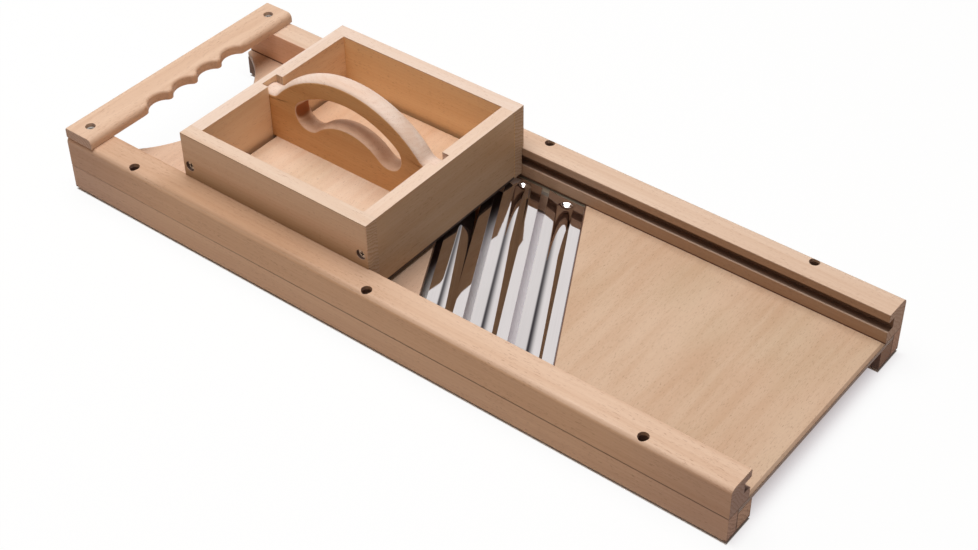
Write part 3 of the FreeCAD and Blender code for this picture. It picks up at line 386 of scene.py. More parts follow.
veneer_figure = make_veneer_figure()


def plywood(name, turn, offset, pale, warm, dark, marks=None):
    """A plywood board: turn lays the face veneer, offset picks its place in the sheet."""
    material, tree = new_material(name)
    position, normal = wood_coordinates(tree, turn, offset)
    figure = add(tree, "ShaderNodeGroup", node_tree=veneer_figure)
    for socket, source in (("Position", position), ("Normal", normal)):
        tree.links.new(source, figure.inputs[socket])
    for socket, setting in (("Pale", pale), ("Warm", warm), ("Dark", dark)):
        figure.inputs[socket].default_value = setting
    finish_wood(tree, figure, 0.0005, 0.0001, marks)
    return material


BLADE_ANGLE = math.radians(28.5)
ACROSS_BLADES = (math.cos(BLADE_ANGLE), math.sin(BLADE_ANGLE), 0.0)
CUT_PLACE = 94.2 * MM
ROUNDING_START = 334.6 * MM


def exit_marks(tree, colour):
    """Paints shade along the slanted edge where the exit bed meets the last blade, and on the rounding of its
    free edge.
    """
    from_entry = reach_along(tree, add(tree, "ShaderNodeTexCoord").outputs["Object"], ACROSS_BLADES)
    cut = ramp(tree, from_entry, CUT_PLACE + 0.6 * MM, CUT_PLACE + 1.4 * MM, 0.9, 0.0)
    rounding = ramp(tree, own_place(tree)["X"], ROUNDING_START, ROUNDING_START + 0.8 * MM, 0.0, 0.45)
    return blend(tree, either(tree, cut, rounding), colour, SHADE_AND_JOINT_DARK)


BED_PALE = shade(219, 190, 164)
BED_WARM = shade(204, 168, 138)
BED_DARK = shade(140, 100, 70)
dress("entry_bed", plywood("entry_ply", ALONG_Y, (0.3, 0.7, 0.0), shade(225, 195, 172), shade(208, 172, 146),
                           BED_DARK))
dress("exit_bed", plywood("exit_ply", ALONG_Y, (0.6, 0.2, 0.0), BED_PALE, BED_WARM, BED_DARK,
                          exit_marks))

# Blade strips
# Rolled steel strips let into the bed's edge, which carry the ends of the blades. They are plain and dull,
# with fine lines along the roll.
def make_drawn_steel():
    """Fine lines along the first axis and soft cloudy smudges, as a roughness, a tone and a relief."""
    tree, given, result = new_group(
        "drawn_steel", [("Position", "Vector"), ("Polish", "Float")],
        [("Roughness", "Float"), ("Tone", "Float"), ("Height", "Float")])
    line = stretched_noise(tree, given["Position"], 0.05, 0.0003, 3.0)
    cloud = stretched_noise(tree, given["Position"], 0.05, 0.02, 3.0)
    rough = math_node(tree, "MULTIPLY_ADD", line, 0.12, math_node(tree, "MULTIPLY", cloud, 0.10))
    tree.links.new(math_node(tree, "MULTIPLY", rough, given["Polish"]), result["Roughness"])
    tree.links.new(math_node(tree, "MULTIPLY_ADD", cloud, 0.5, math_node(tree, "MULTIPLY", line, 0.5)),
                   result["Tone"])
    tree.links.new(math_node(tree, "MULTIPLY_ADD", cloud, 0.7, math_node(tree, "MULTIPLY", line, 0.3)),
                   result["Height"])
    return tree


drawn_steel = make_drawn_steel()


def steel(name, turn, pale, dark, polish, relief, marks=None):
    """A steel finish: polish scales the roughness, relief is the waviness in metres."""
    material, tree = new_material(name)
    position, _ = wood_coordinates(tree, turn, (0.0, 0.0, 0.0))
    surface = add(tree, "ShaderNodeGroup", node_tree=drawn_steel)
    tree.links.new(position, surface.inputs["Position"])
    surface.inputs["Polish"].default_value = polish
    bump = add(tree, "ShaderNodeBump", {"Height": surface.outputs["Height"], "Distance": relief,
                                        "Strength": 0.5})
    tone = blend(tree, surface.outputs["Tone"], pale, dark)
    if marks:
        tone = marks(tree, tone)
    shader = add(tree, "ShaderNodeBsdfPrincipled", {
        "Base Color": tone, "Metallic": 1.0, "Roughness": surface.outputs["Roughness"],
        "Normal": bump.outputs["Normal"]})
    output = add(tree, "ShaderNodeOutputMaterial")
    tree.links.new(shader.outputs["BSDF"], output.inputs["Surface"])
    return material


strip_steel = steel("strip_steel", ALONG_X, shade(212, 204, 186), shade(176, 169, 153), 4.0, 0.00002)
dress("near_blade_strip", strip_steel)
dress("far_blade_strip", strip_steel)

# Blades
# Polished stainless strips, set across the bed on the slant, each with a pressed bead that is domed at both
# ends and a ground front edge that stands a little above the bed.
BED_TOP = 26.0
BLADE_WIDTH = 32.0
BLADE_THICKNESS = 1.2
BLADE_THROAT = 7.0
BLADE_REACH = 97.0
BLADE_START = -26.5
BEAD_WIDTH = 13.3
BEAD_DEPTH = 2.4
BEAD_RIM = 0.20
EDGE_LIFT = 1.5
GRIND = 3.0
EDGE_LAND = 0.06


def sheet_faces(rows, columns):
    """Quads of a closed sheet: an upper grid, a lower grid under it, and a border that joins the two."""
    index = np.arange(rows * columns).reshape(rows, columns)
    under = index + rows * columns

    def quads(grid):
        return np.stack([grid[:-1, :-1], grid[1:, :-1], grid[1:, 1:], grid[:-1, 1:]], axis=-1).reshape(-1, 4)

    def border(line):
        return np.stack([line[:-1], line[1:], line[1:] + rows * columns, line[:-1] + rows * columns], axis=-1)

    rim = [index[:, 0], index[-1, :], index[::-1, -1], index[0, ::-1]]
    return np.concatenate([quads(index), quads(under)[:, ::-1], *[border(line)[:, ::-1] for line in rim]])


def piece(name, points, faces, body, material, nodes, sharp=40.0):
    """A smooth mesh from points in millimetres that rides a body and stands for CAD nodes; edges that turn
    by more than sharp degrees stay crisp."""
    mesh = bpy.data.meshes.new(name)
    mesh.from_pydata((np.asarray(points).reshape(-1, 3) * MM).tolist(), [], [list(face) for face in faces])
    mesh.polygons.foreach_set("use_smooth", np.ones(len(mesh.polygons), bool))
    mesh.set_sharp_from_angle(angle=math.radians(sharp))
    mesh.materials.append(material)
    mesh.validate()
    made = bpy.data.objects.new(name, mesh)
    bpy.context.collection.objects.link(made)
    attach(made, body)
    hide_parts(*nodes)
    return made


def blade_points(number):
    """Upper and lower grid of a blade. Across the blade, the height falls by the depth of a round bead at the
    distance from the bead's middle line, and the front flange rises in a straight line to the edge.
    The grid's second axis runs across the slicer, so that both ends lie along the strips."""
    half = BLADE_WIDTH / 2
    across = np.concatenate([np.linspace(-half, -half + GRIND, 4), np.linspace(-half + GRIND, -7.6, 5)[1:],
                             np.linspace(-7.6, 7.6, 49)[1:], np.linspace(7.6, half, 5)[1:]])
    dome = np.linspace(62.0, BLADE_REACH, 41)
    cross = np.concatenate([-dome[::-1], np.linspace(-62.0, 62.0, 25)[1:-1], dome])
    x, y = np.meshgrid(across, cross, indexing="ij")
    along = (y - x * math.sin(BLADE_ANGLE)) / math.cos(BLADE_ANGLE)
    bead_end = (BLADE_REACH - 3.0 - BEAD_WIDTH / 2) / math.cos(BLADE_ANGLE)
    from_bead = np.hypot(x, np.maximum(np.abs(along) - bead_end, 0.0))
    radius = ((BEAD_WIDTH / 2) ** 2 + BEAD_DEPTH ** 2) / (2 * BEAD_DEPTH)
    hollow = np.sqrt(np.maximum(radius ** 2 - from_bead ** 2, 0.0)) - (radius - BEAD_DEPTH)
    hollow = BEAD_RIM * np.logaddexp(0.0, hollow / BEAD_RIM)
    flange = half - BEAD_WIDTH / 2
    lift = EDGE_LIFT * np.clip((-x - BEAD_WIDTH / 2) / flange, 0.0, 1.0)
    top = BED_TOP - 0.01 + lift - hollow
    ground = np.clip((x + half) / GRIND, 0.0, 1.0)
    bottom = top - EDGE_LAND - (BLADE_THICKNESS - EDGE_LAND) * ground
    middle = BLADE_START + (number - 1) * (BLADE_WIDTH + BLADE_THROAT) / math.cos(BLADE_ANGLE)
    middle += (BLADE_THROAT + half) / math.cos(BLADE_ANGLE)
    place = middle + x * math.cos(BLADE_ANGLE) - along * math.sin(BLADE_ANGLE)
    upper = np.stack([place, y, top], axis=-1)
    lower = np.stack([place, y, bottom], axis=-1)
    return np.stack([upper, lower]), x.shape


BLADE_TURN = (0.0, 0.0, -math.pi / 2 - BLADE_ANGLE)
blade_steel = steel("blade_steel", BLADE_TURN, shade(226, 220, 219), shade(208, 202, 201), 0.30, 0.000012)
for number in (1, 2, 3):
    points, (rows, columns) = blade_points(number)
    piece(f"pressed_blade_{number}", points, sheet_faces(rows, columns), "frame", blade_steel,
          [f"blade_{number}"])

# Guide rails
# Beech rails screwed down on the base rails, rounded over along the outer top edge and grooved along the
# inner side. The screws sit deep in plain counterbores.
# RAIL_SIDE_SHADE is a tint of painted shade on the sides of the guide rails and the far wall.
RAIL_SIDE_SHADE = (0.94, 0.86, 0.75, 1.0)
# INNER_SHADE_TINT paints shade on the far rail's inner side, and INNER_HANDLE_TINT makes it paler towards the
# handle end.
INNER_SHADE_TINT = (0.56, 0.51, 0.48, 1.0)
INNER_HANDLE_TINT = (1.0, 0.87, 0.84, 1.0)


def far_rail_marks(tree, colour):
    """The rail's marks on an inner side darkened by painted shade, which grows paler towards the handle end.
    """
    place = own_place(tree)
    inner = ramp(tree, place["Y"], RAIL_INNER, RAIL_INNER + 0.5 * MM, 1.0, 0.0)
    tint = blend(tree, ramp(tree, place["X"], -0.26, -0.18), INNER_HANDLE_TINT, INNER_SHADE_TINT)
    return rail_marks(tree, blend(tree, inner, colour, tinted(tree, colour, tint)))


dress("near_guide_rail", beech("near_rail_beech", ALONG_X, (0.2, 0.19, 0.02), face=RAIL_SIDE_SHADE,
                               marks=near_marks))
dress("far_guide_rail", beech("far_rail_beech", ALONG_X, (0.7, -0.02, 0.05), pale=shade(231, 204, 182),
                              warm=shade(212, 177, 150), face=RAIL_SIDE_SHADE, marks=far_rail_marks))
screw_zinc = steel("screw_zinc", ALONG_X, shade(190, 190, 188), shade(140, 140, 138), 1.6, 0.00001)
dress("rail_screws", screw_zinc)

# Handle bar
# A beech bar across the rails with four finger hollows sawn into its inner edge. The hollows run into each
# other in soft noses, and the top edges are rounded over, most of all on the straight parts.
BAR_OUTER = -338.0
BAR_INNER = -306.0
BAR_FOOT = 56.0
BAR_TOP = 66.0
BAR_HALF = 126.5
HOLLOW_PITCH = 30.5
HOLLOW_DEPTH = 7.5
NOSE_RADIUS = 4.5
NOSE_DROP = 0.3
BAR_ROUND = 5.0
HOLLOW_ROUND = 2.8
OUTER_ROUND = 2.0
BAR_EASE = 0.8
BAR_SCREW_X = -322.0
BAR_SCREW_Y = 111.5
BAR_BORE_RADIUS = 4.5
BAR_BORE_FLOOR = 60.0


def tube_quads(index):
    """Quads between closed rings of point numbers laid one after the other."""
    turned = np.roll(index, -1, axis=1)
    return np.stack([index[:-1], turned[:-1], turned[1:], index[1:]], axis=-1).reshape(-1, 4)


def bored(points, faces, block, centre, radius, floor):
    """Opens a block of a flat grid to a round hole: the block's border is joined to a circle and the circle
    to its copy on the floor. Gives the points, the quads and the numbers of the floor's points."""
    border = np.concatenate([block[0, :-1], block[:-1, -1], block[-1, :0:-1], block[:0:-1, 0]])
    towards = points[border, :2] - centre
    circle = centre + radius * towards / np.linalg.norm(towards, axis=1, keepdims=True)
    rims = [np.column_stack([circle, points[border, 2]]),
            np.column_stack([circle, np.full(len(circle), floor)])]
    mouth = len(points) + np.arange(len(border))
    bottom = mouth + len(border)
    bands = [np.stack([outer, np.roll(outer, -1), np.roll(inner, -1), inner], axis=-1)
             for outer, inner in ((border, mouth), (mouth, bottom))]
    kept = faces[~np.isin(faces, block).all(axis=1)]
    return np.concatenate([points, *rims]), np.concatenate([kept, *bands]), bottom


def bar_inner_edge(y):
    """The inner edge as a place in X for each Y: by the distance from the nearest hollow's middle, first the
    hollow's circle, then the circle of the nose that it touches, and past the last nose a straight edge."""
    fall = HOLLOW_DEPTH - NOSE_DROP
    half = HOLLOW_PITCH / 2
    reach = (half ** 2 + fall ** 2) / (2 * fall)
    hollow_radius = reach - NOSE_RADIUS
    aside = np.abs((y + 2 * HOLLOW_PITCH) % HOLLOW_PITCH - half)
    hollow = hollow_radius - HOLLOW_DEPTH - np.sqrt(np.maximum(hollow_radius ** 2 - aside ** 2, 0.0))
    nose = np.sqrt(np.maximum(NOSE_RADIUS ** 2 - (half - aside) ** 2, 0.0)) - NOSE_RADIUS - NOSE_DROP
    wave = np.where(aside < half * hollow_radius / reach, hollow, nose)
    past = np.clip((np.abs(y) - 2 * HOLLOW_PITCH) / 4.0, 0.0, 1.0)
    straight = -NOSE_DROP * (1.0 - past ** 2 * (3.0 - 2.0 * past))
    return BAR_INNER + np.where(np.abs(y) > 2 * HOLLOW_PITCH, straight, wave)


def bar_points():
    """Rings round the bar, one after the other along Y. Each ring goes up the outer side, across the top,
    over the rounding, down the inner side and back below; roundings are quarter circles set in square to
    the edge."""
    fine = np.linspace(-68.0, 68.0, 273)
    ends = np.concatenate([np.linspace(68.0, BAR_SCREW_Y - 6.5, 6)[1:],
                           BAR_SCREW_Y + np.linspace(-6.5, 6.5, 9)[1:], [BAR_HALF - BAR_EASE]])
    y = np.concatenate([-ends[::-1], fine, ends])
    inner = bar_inner_edge(y)
    slope = np.gradient(inner, y)
    steep = np.sqrt(1.0 + slope ** 2)
    straight = np.clip((np.abs(y) - 60.0) / 8.0, 0.0, 1.0)
    straight = straight ** 2 * (3.0 - 2.0 * straight)
    rounding = (HOLLOW_ROUND + (BAR_ROUND - HOLLOW_ROUND) * straight)[:, None]
    turn = np.radians(np.linspace(0.0, 90.0, 8))
    set_in = np.concatenate([rounding + 1.0, rounding * (1 - np.cos(turn[::-1])),
                             BAR_EASE * (1 - np.cos(turn)) + 0 * rounding], axis=1)
    height = np.concatenate([0 * rounding + BAR_TOP, BAR_TOP - rounding * (1 - np.sin(turn[::-1])),
                             BAR_FOOT + BAR_EASE * (1 - np.sin(turn)) + 0 * rounding], axis=1)
    inside = np.stack([inner[:, None] - set_in / steep[:, None],
                       y[:, None] + set_in * (slope / steep)[:, None], height], axis=-1)
    across = np.concatenate([BAR_EASE * (1 - np.cos(turn[::-1])), OUTER_ROUND * (1 - np.cos(turn)),
                             [OUTER_ROUND + 1.0]])
    up = np.concatenate([BAR_FOOT + BAR_EASE * (1 - np.sin(turn[::-1])),
                         BAR_TOP - OUTER_ROUND * (1 - np.sin(turn)), [BAR_TOP]])
    outside = np.stack([BAR_OUTER + across + 0 * y[:, None], y[:, None] + 0 * across,
                        up + 0 * y[:, None]], axis=-1)
    flat_top = outside[:, -1:] + (inside[:, :1] - outside[:, -1:]) * np.linspace(0.28, 0.85, 9)[:, None]
    rings = np.concatenate([outside, flat_top, inside], axis=1)
    shrink = BAR_EASE * (1 - np.cos(turn[1:]))[:, None, None]
    middle = np.array([(BAR_OUTER + BAR_INNER) / 2, 0.0, (BAR_FOOT + BAR_TOP) / 2])
    half = np.array([(BAR_INNER - BAR_OUTER) / 2, 1.0, (BAR_TOP - BAR_FOOT) / 2])
    eased = rings[-1] - (rings[-1] - middle) / half * shrink
    eased[..., 1] = BAR_HALF - BAR_EASE * (1 - np.sin(turn[1:]))[:, None]
    other = eased[::-1] * (1.0, -1.0, 1.0)
    return np.concatenate([other, rings, eased])


rings = bar_points()
index = np.arange(rings[..., 0].size).reshape(rings.shape[:2])
points, faces = rings.reshape(-1, 3), tube_quads(index)
caps = [index[0, ::-1], index[-1]]
for middle in (-BAR_SCREW_Y, BAR_SCREW_Y):
    block = index[np.abs(rings[:, 0, 1] - middle) < 6.6, 17:26]
    points, faces, floor = bored(points, faces, block, (BAR_SCREW_X, middle), BAR_BORE_RADIUS, BAR_BORE_FLOOR)
    caps.append(floor)
piece("finger_bar", points, [*faces.tolist(), *[cap.tolist() for cap in caps]], "frame",
      beech("bar_beech", ALONG_Y, (0.15, 0.36, 0.01)), ["handle_bar"], sharp=50.0)
bar_zinc = steel("bar_zinc", ALONG_X, shade(214, 212, 208), shade(176, 174, 170), 4.5, 0.00001)
dress("handle_bar_screws", bar_zinc)

# Feed box
# Four thin beech boards, butted and screwed at the corners and sanded flush, so that the near and far walls
# show upright strips of end grain beside the front board. Tints paint shade on the faces of the near and
# front walls, so that their top edges come out paler, and paint light on the back wall's faces.
BOX_END = shade(208, 184, 157)
BOX_MIDDLE = -116.0 * MM
BOX_SIDE = 101.5 * MM
BOX_INSIDE = 88.5 * MM
BOX_FOOT = 30.0 * MM
BOX_TOP = 100.0 * MM
SCREW_REACH = 94.5 * MM
SCREW_HEIGHT = 68.0 * MM
SINK_REACH = 5.0 * MM
HEAD_FACE = 99.9 * MM
GAP_SHADE = shade(40, 24, 18)
SLOT_SHADE = shade(34, 31, 29)


def below_rim(tree, place):
    """A mask that leaves out the top edge of a wall."""
    return ramp(tree, place["Z"], BOX_TOP - 1.4 * MM, BOX_TOP - 0.4 * MM, 1.0, 0.0)


def near_wall_marks(tree, colour):
    """Painted shade and light on the outer side of the near wall, darker towards the guide rail and lighter
    towards the top, and painted shade round the sunk screws.
    """
    place = own_place(tree)
    outer = both(tree, ramp(tree, place["Y"], -BOX_SIDE + 0.3 * MM, -BOX_SIDE + 1.3 * MM, 1.0, 0.0),
                 below_rim(tree, place))
    tint = blend(tree, ramp(tree, place["Z"], 53.0 * MM, 78.0 * MM), (0.72, 0.66, 0.55, 1.0),
                 (1.43, 1.45, 1.54, 1.0))
    side = blend(tree, outer, colour, tinted(tree, colour, tint))
    aside = apart(tree, apart(tree, place["X"], BOX_MIDDLE), SCREW_REACH)
    above = apart(tree, place["Z"], SCREW_HEIGHT)
    near_screw = both(tree, ramp(tree, aside, SINK_REACH, SINK_REACH + 0.3 * MM, 1.0, 0.0),
                      ramp(tree, above, SINK_REACH, SINK_REACH + 0.3 * MM, 1.0, 0.0))
    depth = ramp(tree, place["Y"], -BOX_SIDE + 0.15 * MM, -BOX_SIDE + 0.5 * MM, 0.0, 0.9)
    return blend(tree, both(tree, near_screw, depth), side, SHADE_AND_JOINT_DARK)


def far_wall_marks(tree, colour):
    """Painted light on the inner side of the far wall, lighter and warmer than the rest."""
    place = own_place(tree)
    inner = both(tree, ramp(tree, place["Y"], BOX_INSIDE + 0.3 * MM, BOX_INSIDE + 1.3 * MM, 1.0, 0.0),
                 below_rim(tree, place))
    return blend(tree, inner, colour, tinted(tree, colour, (1.223, 1.151, 0.853, 1.0)))


def front_wall_marks(tree, colour):
    """Painted shadow on the lower edge of the front wall, dark over the blades."""
    lower = ramp(tree, own_place(tree)["Z"], BOX_FOOT + 1.5 * MM, BOX_FOOT + 3.0 * MM, 0.95, 0.0)
    return blend(tree, lower, colour, GAP_SHADE)


def slot_marks(tree, colour):
    """Painted shade in the screwdriver's slots, dark below the face of the sunk heads."""
    depth = size_of(tree, own_place(tree)["Y"])
    slot = ramp(tree, depth, HEAD_FACE - 0.4 * MM, HEAD_FACE - 0.1 * MM, 1.0, 0.0)
    return blend(tree, slot, colour, SLOT_SHADE)


# The face tints of the walls paint shade on the near and front walls' faces and light on the back wall's
# faces.
far_finish = {"pale": shade(238, 219, 206), "warm": shade(226, 197, 174), "end": BOX_END, "flecks": 0.4}
dress("box_near_wall", beech("box_near_beech", ALONG_X, (0.25, 0.13, 0.03), pale=shade(231, 207, 187),
                             warm=shade(217, 183, 156), face=(0.66, 0.58, 0.47, 1.0), end=BOX_END,
                             flecks=0.4, marks=near_wall_marks))
dress("box_far_wall", beech("box_far_beech", ALONG_X, (0.55, -0.05, 0.06), face=RAIL_SIDE_SHADE,
                            marks=far_wall_marks, **far_finish))
dress("box_back_wall", beech("box_back_beech", ALONG_Y, (0.35, -0.28, 0.02), face=(1.16, 1.06, 0.84, 1.0),
                             **far_finish))
dress("box_front_wall", beech("box_front_beech", ALONG_Y, (0.75, -0.08, 0.05), pale=shade(238, 215, 197),
                              warm=shade(224, 191, 165), face=(0.69, 0.61, 0.475, 1.0), flecks=0.4,
                              marks=front_wall_marks))
dress("box_corner_screws", steel("box_zinc", ALONG_X, shade(214, 216, 217), shade(186, 188, 189), 1.6,
                                 0.00001, slot_marks))
dress("near_guide_tongue", beech("near_tongue_beech", ALONG_X, (0.45, 0.14, 0.03)))
dress("far_guide_tongue", beech("far_tongue_beech", ALONG_X, (0.85, -0.07, 0.03)))

# Pusher plate
# A square of plywood with eased edges that presses the food down, screwed to the grip board from below.
def plate_marks(tree, colour):
    """Painted shade beyond the grip board, a darker and warmer tone."""
    beyond = ramp(tree, own_place(tree)["Y"], -5.0 * MM, 5.0 * MM)
    return blend(tree, beyond, colour, tinted(tree, colour, (0.91, 0.82, 0.74, 1.0)))


dress("pusher_plate", plywood("plate_ply", ALONG_Y, (0.9, 0.5, 0.0), shade(236, 212, 190),
                              shade(222, 188, 160), shade(150, 108, 76), plate_marks))
dress("pusher_screws", screw_zinc)

# Pusher handle
# A beech board on edge, sawn to an arched grip over a kidney-shaped finger hole. The grip and the two toes
# are crowned over the board's whole thickness, and so is the edge of the hole.
GRIP_MIDDLE = -116.0
GRIP_HALF = 8.7
GRIP_RADIUS = 105.08
GRIP_CENTRE = 29.92
GRIP_CROWN = 4.0
SWEEP_RADIUS = 8.0
SWEEP_CENTRE = (86.29, 103.0)
TOE_TOP = 95.0
TOE_END = 95.0
GRIP_FOOT = 49.5
PALM_RADIUS = 85.08
LOBE_CENTRE = (44.34, 87.0)
LOBE_RADIUS = 12.8
HUMP_CENTRE = 40.8
HUMP_RADIUS = 51.2
HOLE_CROWN = 2.4


def arc(centre, radius, start, end, count):
    """Points of an arc from angle to angle in degrees, without its last point, and the directions that lead
    away from its centre."""
    angle = np.radians(np.linspace(start, end, count + 1)[:-1])
    away = np.stack([np.cos(angle), np.sin(angle)], axis=-1)
    return np.asarray(centre) + radius * away, away


def run(first, last, outward, count):
    """Points of a straight run with both its ends, and one outward direction for all of them."""
    share = np.linspace(0.0, 1.0, count)[:, None]
    return np.asarray(first) * (1 - share) + np.asarray(last) * share, np.tile(outward, (count, 1))


def grip_outlines():
    """The outer edge and the hole's edge of one half, from the middle of the grip over the toe and the end to
    the middle of the foot: for both, points and directions out of the wood or into it, then the directions
    that lead from the outer edge along the face, and the height of the outer crown."""
    toe_turn = math.degrees(math.atan2(SWEEP_CENTRE[1] - GRIP_CENTRE, SWEEP_CENTRE[0]))
    lobe_turn = math.degrees(math.atan2(LOBE_CENTRE[1] - GRIP_CENTRE, LOBE_CENTRE[0]))
    hump_turn = math.degrees(math.atan2(LOBE_CENTRE[1] - HUMP_CENTRE, LOBE_CENTRE[0]))
    sweep, towards = arc(SWEEP_CENTRE, SWEEP_RADIUS, toe_turn + 180.0, 270.0, 8)
    outer = [arc((0.0, GRIP_CENTRE), GRIP_RADIUS, 90.0, toe_turn, 48), (sweep, -towards),
             run((SWEEP_CENTRE[0], TOE_TOP), (TOE_END, TOE_TOP), (0.0, 1.0), 7),
             run((TOE_END, TOE_TOP - 2.5 * GRIP_CROWN), (TOE_END, GRIP_FOOT + 2.0), (1.0, 0.0), 18),
             run((TOE_END, GRIP_FOOT), (0.0, GRIP_FOOT), (0.0, -1.0), 65)]
    hump, out = arc((0.0, HUMP_CENTRE), HUMP_RADIUS, hump_turn, 90.0, 32)
    hole = [arc((0.0, GRIP_CENTRE), PALM_RADIUS, 90.0, lobe_turn, 48),
            arc(LOBE_CENTRE, LOBE_RADIUS, lobe_turn, hump_turn - 180.0, 65), (hump, -out),
            (np.array([[0.0, HUMP_CENTRE + HUMP_RADIUS]]), np.array([[0.0, -1.0]]))]
    edge, out = (np.concatenate(part) for part in zip(*outer))
    inner, into = (np.concatenate(part) for part in zip(*hole))
    lean = -out
    lean[62] = (-1.0, -1.0)
    lean[81] = (-1.0, 1.0)
    return edge, out, lean, inner, into, np.repeat((GRIP_CROWN, 0.0), (63, 83))


def grip_points():
    """Rings through the board, one after the other round the hole. Each ring goes over the outer edge, down
    one face to the hole, over the hole's edge and back up the other face; both edges are half ellipses."""
    edge, out, lean, hole, into, crown = grip_outlines()
    turn = np.radians(np.linspace(90.0, -90.0, 25))
    fall = 1 - np.cos(turn)
    over = edge[:, None] - out[:, None] * (crown[:, None] * fall)[..., None]
    over = np.concatenate([over, over[:, -1:] + 1.5 * lean[:, None]], axis=1)
    under = hole[:, None] + into[:, None] * np.concatenate([HOLE_CROWN * fall, [HOLE_CROWN + 1.5]])[:, None]
    flat = np.concatenate([over, under[:, -1:], under[:, :-1], under[:, -1:], over[:, -1:]], axis=1)
    side = GRIP_HALF * np.concatenate([np.sin(turn), [-1.0, -1.0], -np.sin(turn), [1.0, 1.0]])
    place = np.stack([flat[..., 0], side + 0 * flat[..., 0], flat[..., 1]], axis=-1)
    mirrored = place[-2:0:-1] * (-1.0, 1.0, 1.0)
    return np.concatenate([place, mirrored]) + (GRIP_MIDDLE, 0.0, 0.0)


def grip_marks(tree, colour):
    """A darker and warmer tone on the edge of the finger hole, painted shade and warm bounce light, inside a
    circle round the grip's centre.
    """
    coordinates = add(tree, "ShaderNodeTexCoord").outputs
    centre = (GRIP_MIDDLE * MM, 0.0, GRIP_CENTRE * MM)
    place = add(tree, "ShaderNodeVectorMath", {0: coordinates["Object"], 1: centre}, operation="DISTANCE")
    near_hole = ramp(tree, place.outputs["Value"], 90.0 * MM, 93.0 * MM, 1.0, 0.0)
    aside = add(tree, "ShaderNodeSeparateXYZ", {"Vector": coordinates["Normal"]}).outputs["Y"]
    off_face = ramp(tree, size_of(tree, aside), 0.80, 0.95, 1.0, 0.0)
    warmer = tinted(tree, colour, (0.93, 0.79, 0.66, 1.0))
    return blend(tree, both(tree, near_hole, off_face), colour, warmer)


def ring_faces(rings, points):
    """Quads of a surface that closes on itself both along the rings and from the last ring to the first."""
    index = np.arange(rings * points).reshape(rings, points)
    along = np.roll(index, -1, axis=1)
    corners = [index, along, np.roll(along, -1, axis=0), np.roll(index, -1, axis=0)]
    return np.stack(corners, axis=-1).reshape(-1, 4)


# The grip's face tint is partly painted shade and partly a warmer tone of its faces, and its end colour is
# partly end grain and partly painted warm bounce light.
points = grip_points()
piece("arched_grip", points, ring_faces(*points.shape[:2]), "pusher",
      beech("grip_beech", ALONG_X, (0.65, 0.02, 0.0), pale=shade(240, 219, 205), warm=shade(224, 189, 165),
            end=shade(176, 112, 66), face=(0.85, 0.59, 0.295, 1.0), flecks=0.45,
            marks=grip_marks), ["pusher_handle"], sharp=50.0)

# Studio
# A white table under a large soft lamp, with a white backdrop beyond the handle end and a dim room round it.
# The camera sees table and backdrop white, and polished steel shows the backdrop and the dim room.
def seen_directly(tree):
    """1 for what the camera sees straight, in a mirror or through glass, otherwise 0."""
    path = add(tree, "ShaderNodeLightPath").outputs
    return either(tree, path["Is Camera Ray"], path["Is Glossy Ray"], path["Is Transmission Ray"])


FLOOR_HALF = 6.0
FLOOR_HEIGHT = -0.0002
BOX_SHADOW_ON_FLOOR = (0.10, 0.07, 0.06, 1.0)
FOOT_MIDDLE = 110.8 * MM
FOOT_HALF = 15.5 * MM
FOOT_LENGTH = 337.8 * MM
floor_corners = np.array([(-1, -1, 0), (1, -1, 0), (1, 1, 0), (-1, 1, 0)]) * FLOOR_HALF + (0, 0, FLOOR_HEIGHT)
floor_mesh = bpy.data.meshes.new("studio_floor")
floor_mesh.from_pydata(floor_corners.tolist(), [], [(0, 1, 2, 3)])
floor = bpy.data.objects.new("studio_floor", floor_mesh)
bpy.context.collection.objects.link(floor)
floor_white, tree = new_material("studio_white")
seen = seen_directly(tree)
place = own_place(tree)
aside = size_of(tree, place["Y"])
open_side = ramp(tree, aside, 0.10, 0.13)
open_end = ramp(tree, apart(tree, place["X"], 0.06), 0.25, 0.29)
outside = either(tree, open_side, open_end)
# Painted shade: seen straight, the floor under the box's rest place takes a dark tone of painted shadow, and
# keeps it when the box slides. Painted light: under the blades the floor glows a little more across the
# blades, with a lavender tint, and in the hand gap it glows near white.
past_box = ramp(tree, place["X"], -0.028, 0.004)
tone = blend(tree, either(tree, outside, past_box), BOX_SHADOW_ON_FLOOR, WHITE)
matt = add(tree, "ShaderNodeBsdfDiffuse", {"Color": blend(tree, seen, (0.60, 0.50, 0.42, 1.0), tone)})
from_entry = reach_along(tree, add(tree, "ShaderNodeTexCoord").outputs["Object"], ACROSS_BLADES)
under = both(tree, past_box, ramp(tree, from_entry, -0.03, 0.065, 0.0, 0.22))
in_gap = both(tree, ramp(tree, place["X"], -0.25, -0.21, 0.97, 0.0), ramp(tree, aside, 0.09, 0.10, 1.0, 0.0))
lit = either(tree, under, in_gap, both(tree, outside, 0.92))
from_rail = apart(tree, aside, FOOT_MIDDLE)
beside = either(tree, ramp(tree, from_rail, FOOT_HALF, FOOT_HALF + 0.7 * MM),
                ramp(tree, size_of(tree, place["X"]), FOOT_LENGTH, FOOT_LENGTH + 0.7 * MM))
lit = both(tree, lit, beside)
glow = add(tree, "ShaderNodeEmission", {"Color": blend(tree, outside, (1.0, 0.90, 0.98, 1.0), WHITE),
                                        "Strength": 1.0})
mixed = add(tree, "ShaderNodeMixShader", {0: both(tree, seen, lit), 1: matt.outputs["BSDF"],
                                          2: glow.outputs["Emission"]})
output = add(tree, "ShaderNodeOutputMaterial")
tree.links.new(mixed.outputs["Shader"], output.inputs["Surface"])
floor_mesh.materials.append(floor_white)

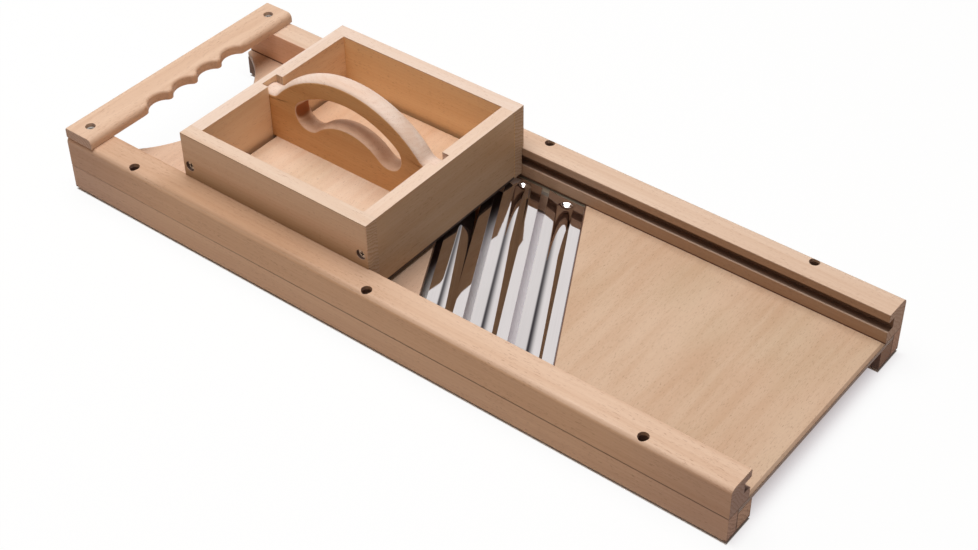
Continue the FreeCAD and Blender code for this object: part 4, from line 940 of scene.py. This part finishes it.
TO_BACKDROP = (-0.85, 0.45, 0.25)
TO_LAMP = (-0.144, -0.033, 0.989)
TO_WINDOW = (0.50, -0.75, 0.43)
world = bpy.data.worlds.new("studio_room")
bpy.context.scene.world = world
world.use_nodes = True
tree = world.node_tree
tree.nodes.clear()
direction = add(tree, "ShaderNodeTexCoord").outputs["Generated"]
on_backdrop = ramp(tree, reach_along(tree, direction, TO_BACKDROP), 0.34, 0.76)
on_lamp = ramp(tree, reach_along(tree, direction, TO_LAMP), 0.92, 0.985)
on_window = ramp(tree, reach_along(tree, direction, TO_WINDOW), 0.45, 0.85, 0.0, 0.8)
straight = add(tree, "ShaderNodeLightPath").outputs["Is Camera Ray"]
white_part = either(tree, straight, on_backdrop, on_lamp, on_window)
seen_room = blend(tree, white_part, (0.045, 0.04, 0.048, 1.0), WHITE)
white = add(tree, "ShaderNodeBackground", {"Color": seen_room, "Strength": 1.0})
dim = add(tree, "ShaderNodeBackground", {"Color": (1.0, 0.84, 0.70, 1.0), "Strength": 0.185})
mixed = add(tree, "ShaderNodeMixShader", {0: seen_directly(tree), 1: dim.outputs["Background"],
                                          2: white.outputs["Background"]})
output = add(tree, "ShaderNodeOutputWorld")
tree.links.new(mixed.outputs["Shader"], output.inputs["Surface"])


def soft_lamp(name, place, aim, width, power, colour):
    """A round lamp at a place, turned so that it shines at a point."""
    light = bpy.data.lights.new(name, "AREA")
    light.shape = "DISK"
    light.size = width
    light.energy = power
    light.color = colour
    lamp = bpy.data.objects.new(name, light)
    bpy.context.collection.objects.link(lamp)
    back = np.array(place) - np.array(aim)
    lamp.location = place
    tilt = math.acos(back[2] / np.linalg.norm(back))
    lamp.rotation_euler = (tilt, 0.0, math.atan2(back[0], -back[1]))


soft_lamp("overhead_lamp", (-0.35, -0.08, 2.4), (0.0, 0.0, 0.0), 1.92, 55.0, (1.0, 0.985, 0.97))

# Camera
# Looks down along the slicer from beyond its free end, on the near side.
RIGHT = (0.788831, 0.614555, -0.008265)
UP = (-0.396693, 0.519367, 0.756896)
BACK = (0.469447, -0.593785, 0.653483)
CAMERA_PLACE = (0.7232, -0.8811, 0.9722)
camera_data = bpy.data.cameras.new("camera")
camera_data.sensor_width = 36.0
camera_data.lens = 65.675
camera = bpy.data.objects.new("camera", camera_data)
bpy.context.collection.objects.link(camera)
turned = Matrix((RIGHT, UP, BACK)).transposed().to_4x4()
camera.matrix_world = Matrix.Translation(CAMERA_PLACE) @ turned
bpy.context.scene.camera = camera
bpy.context.scene.view_settings.view_transform = "Standard"
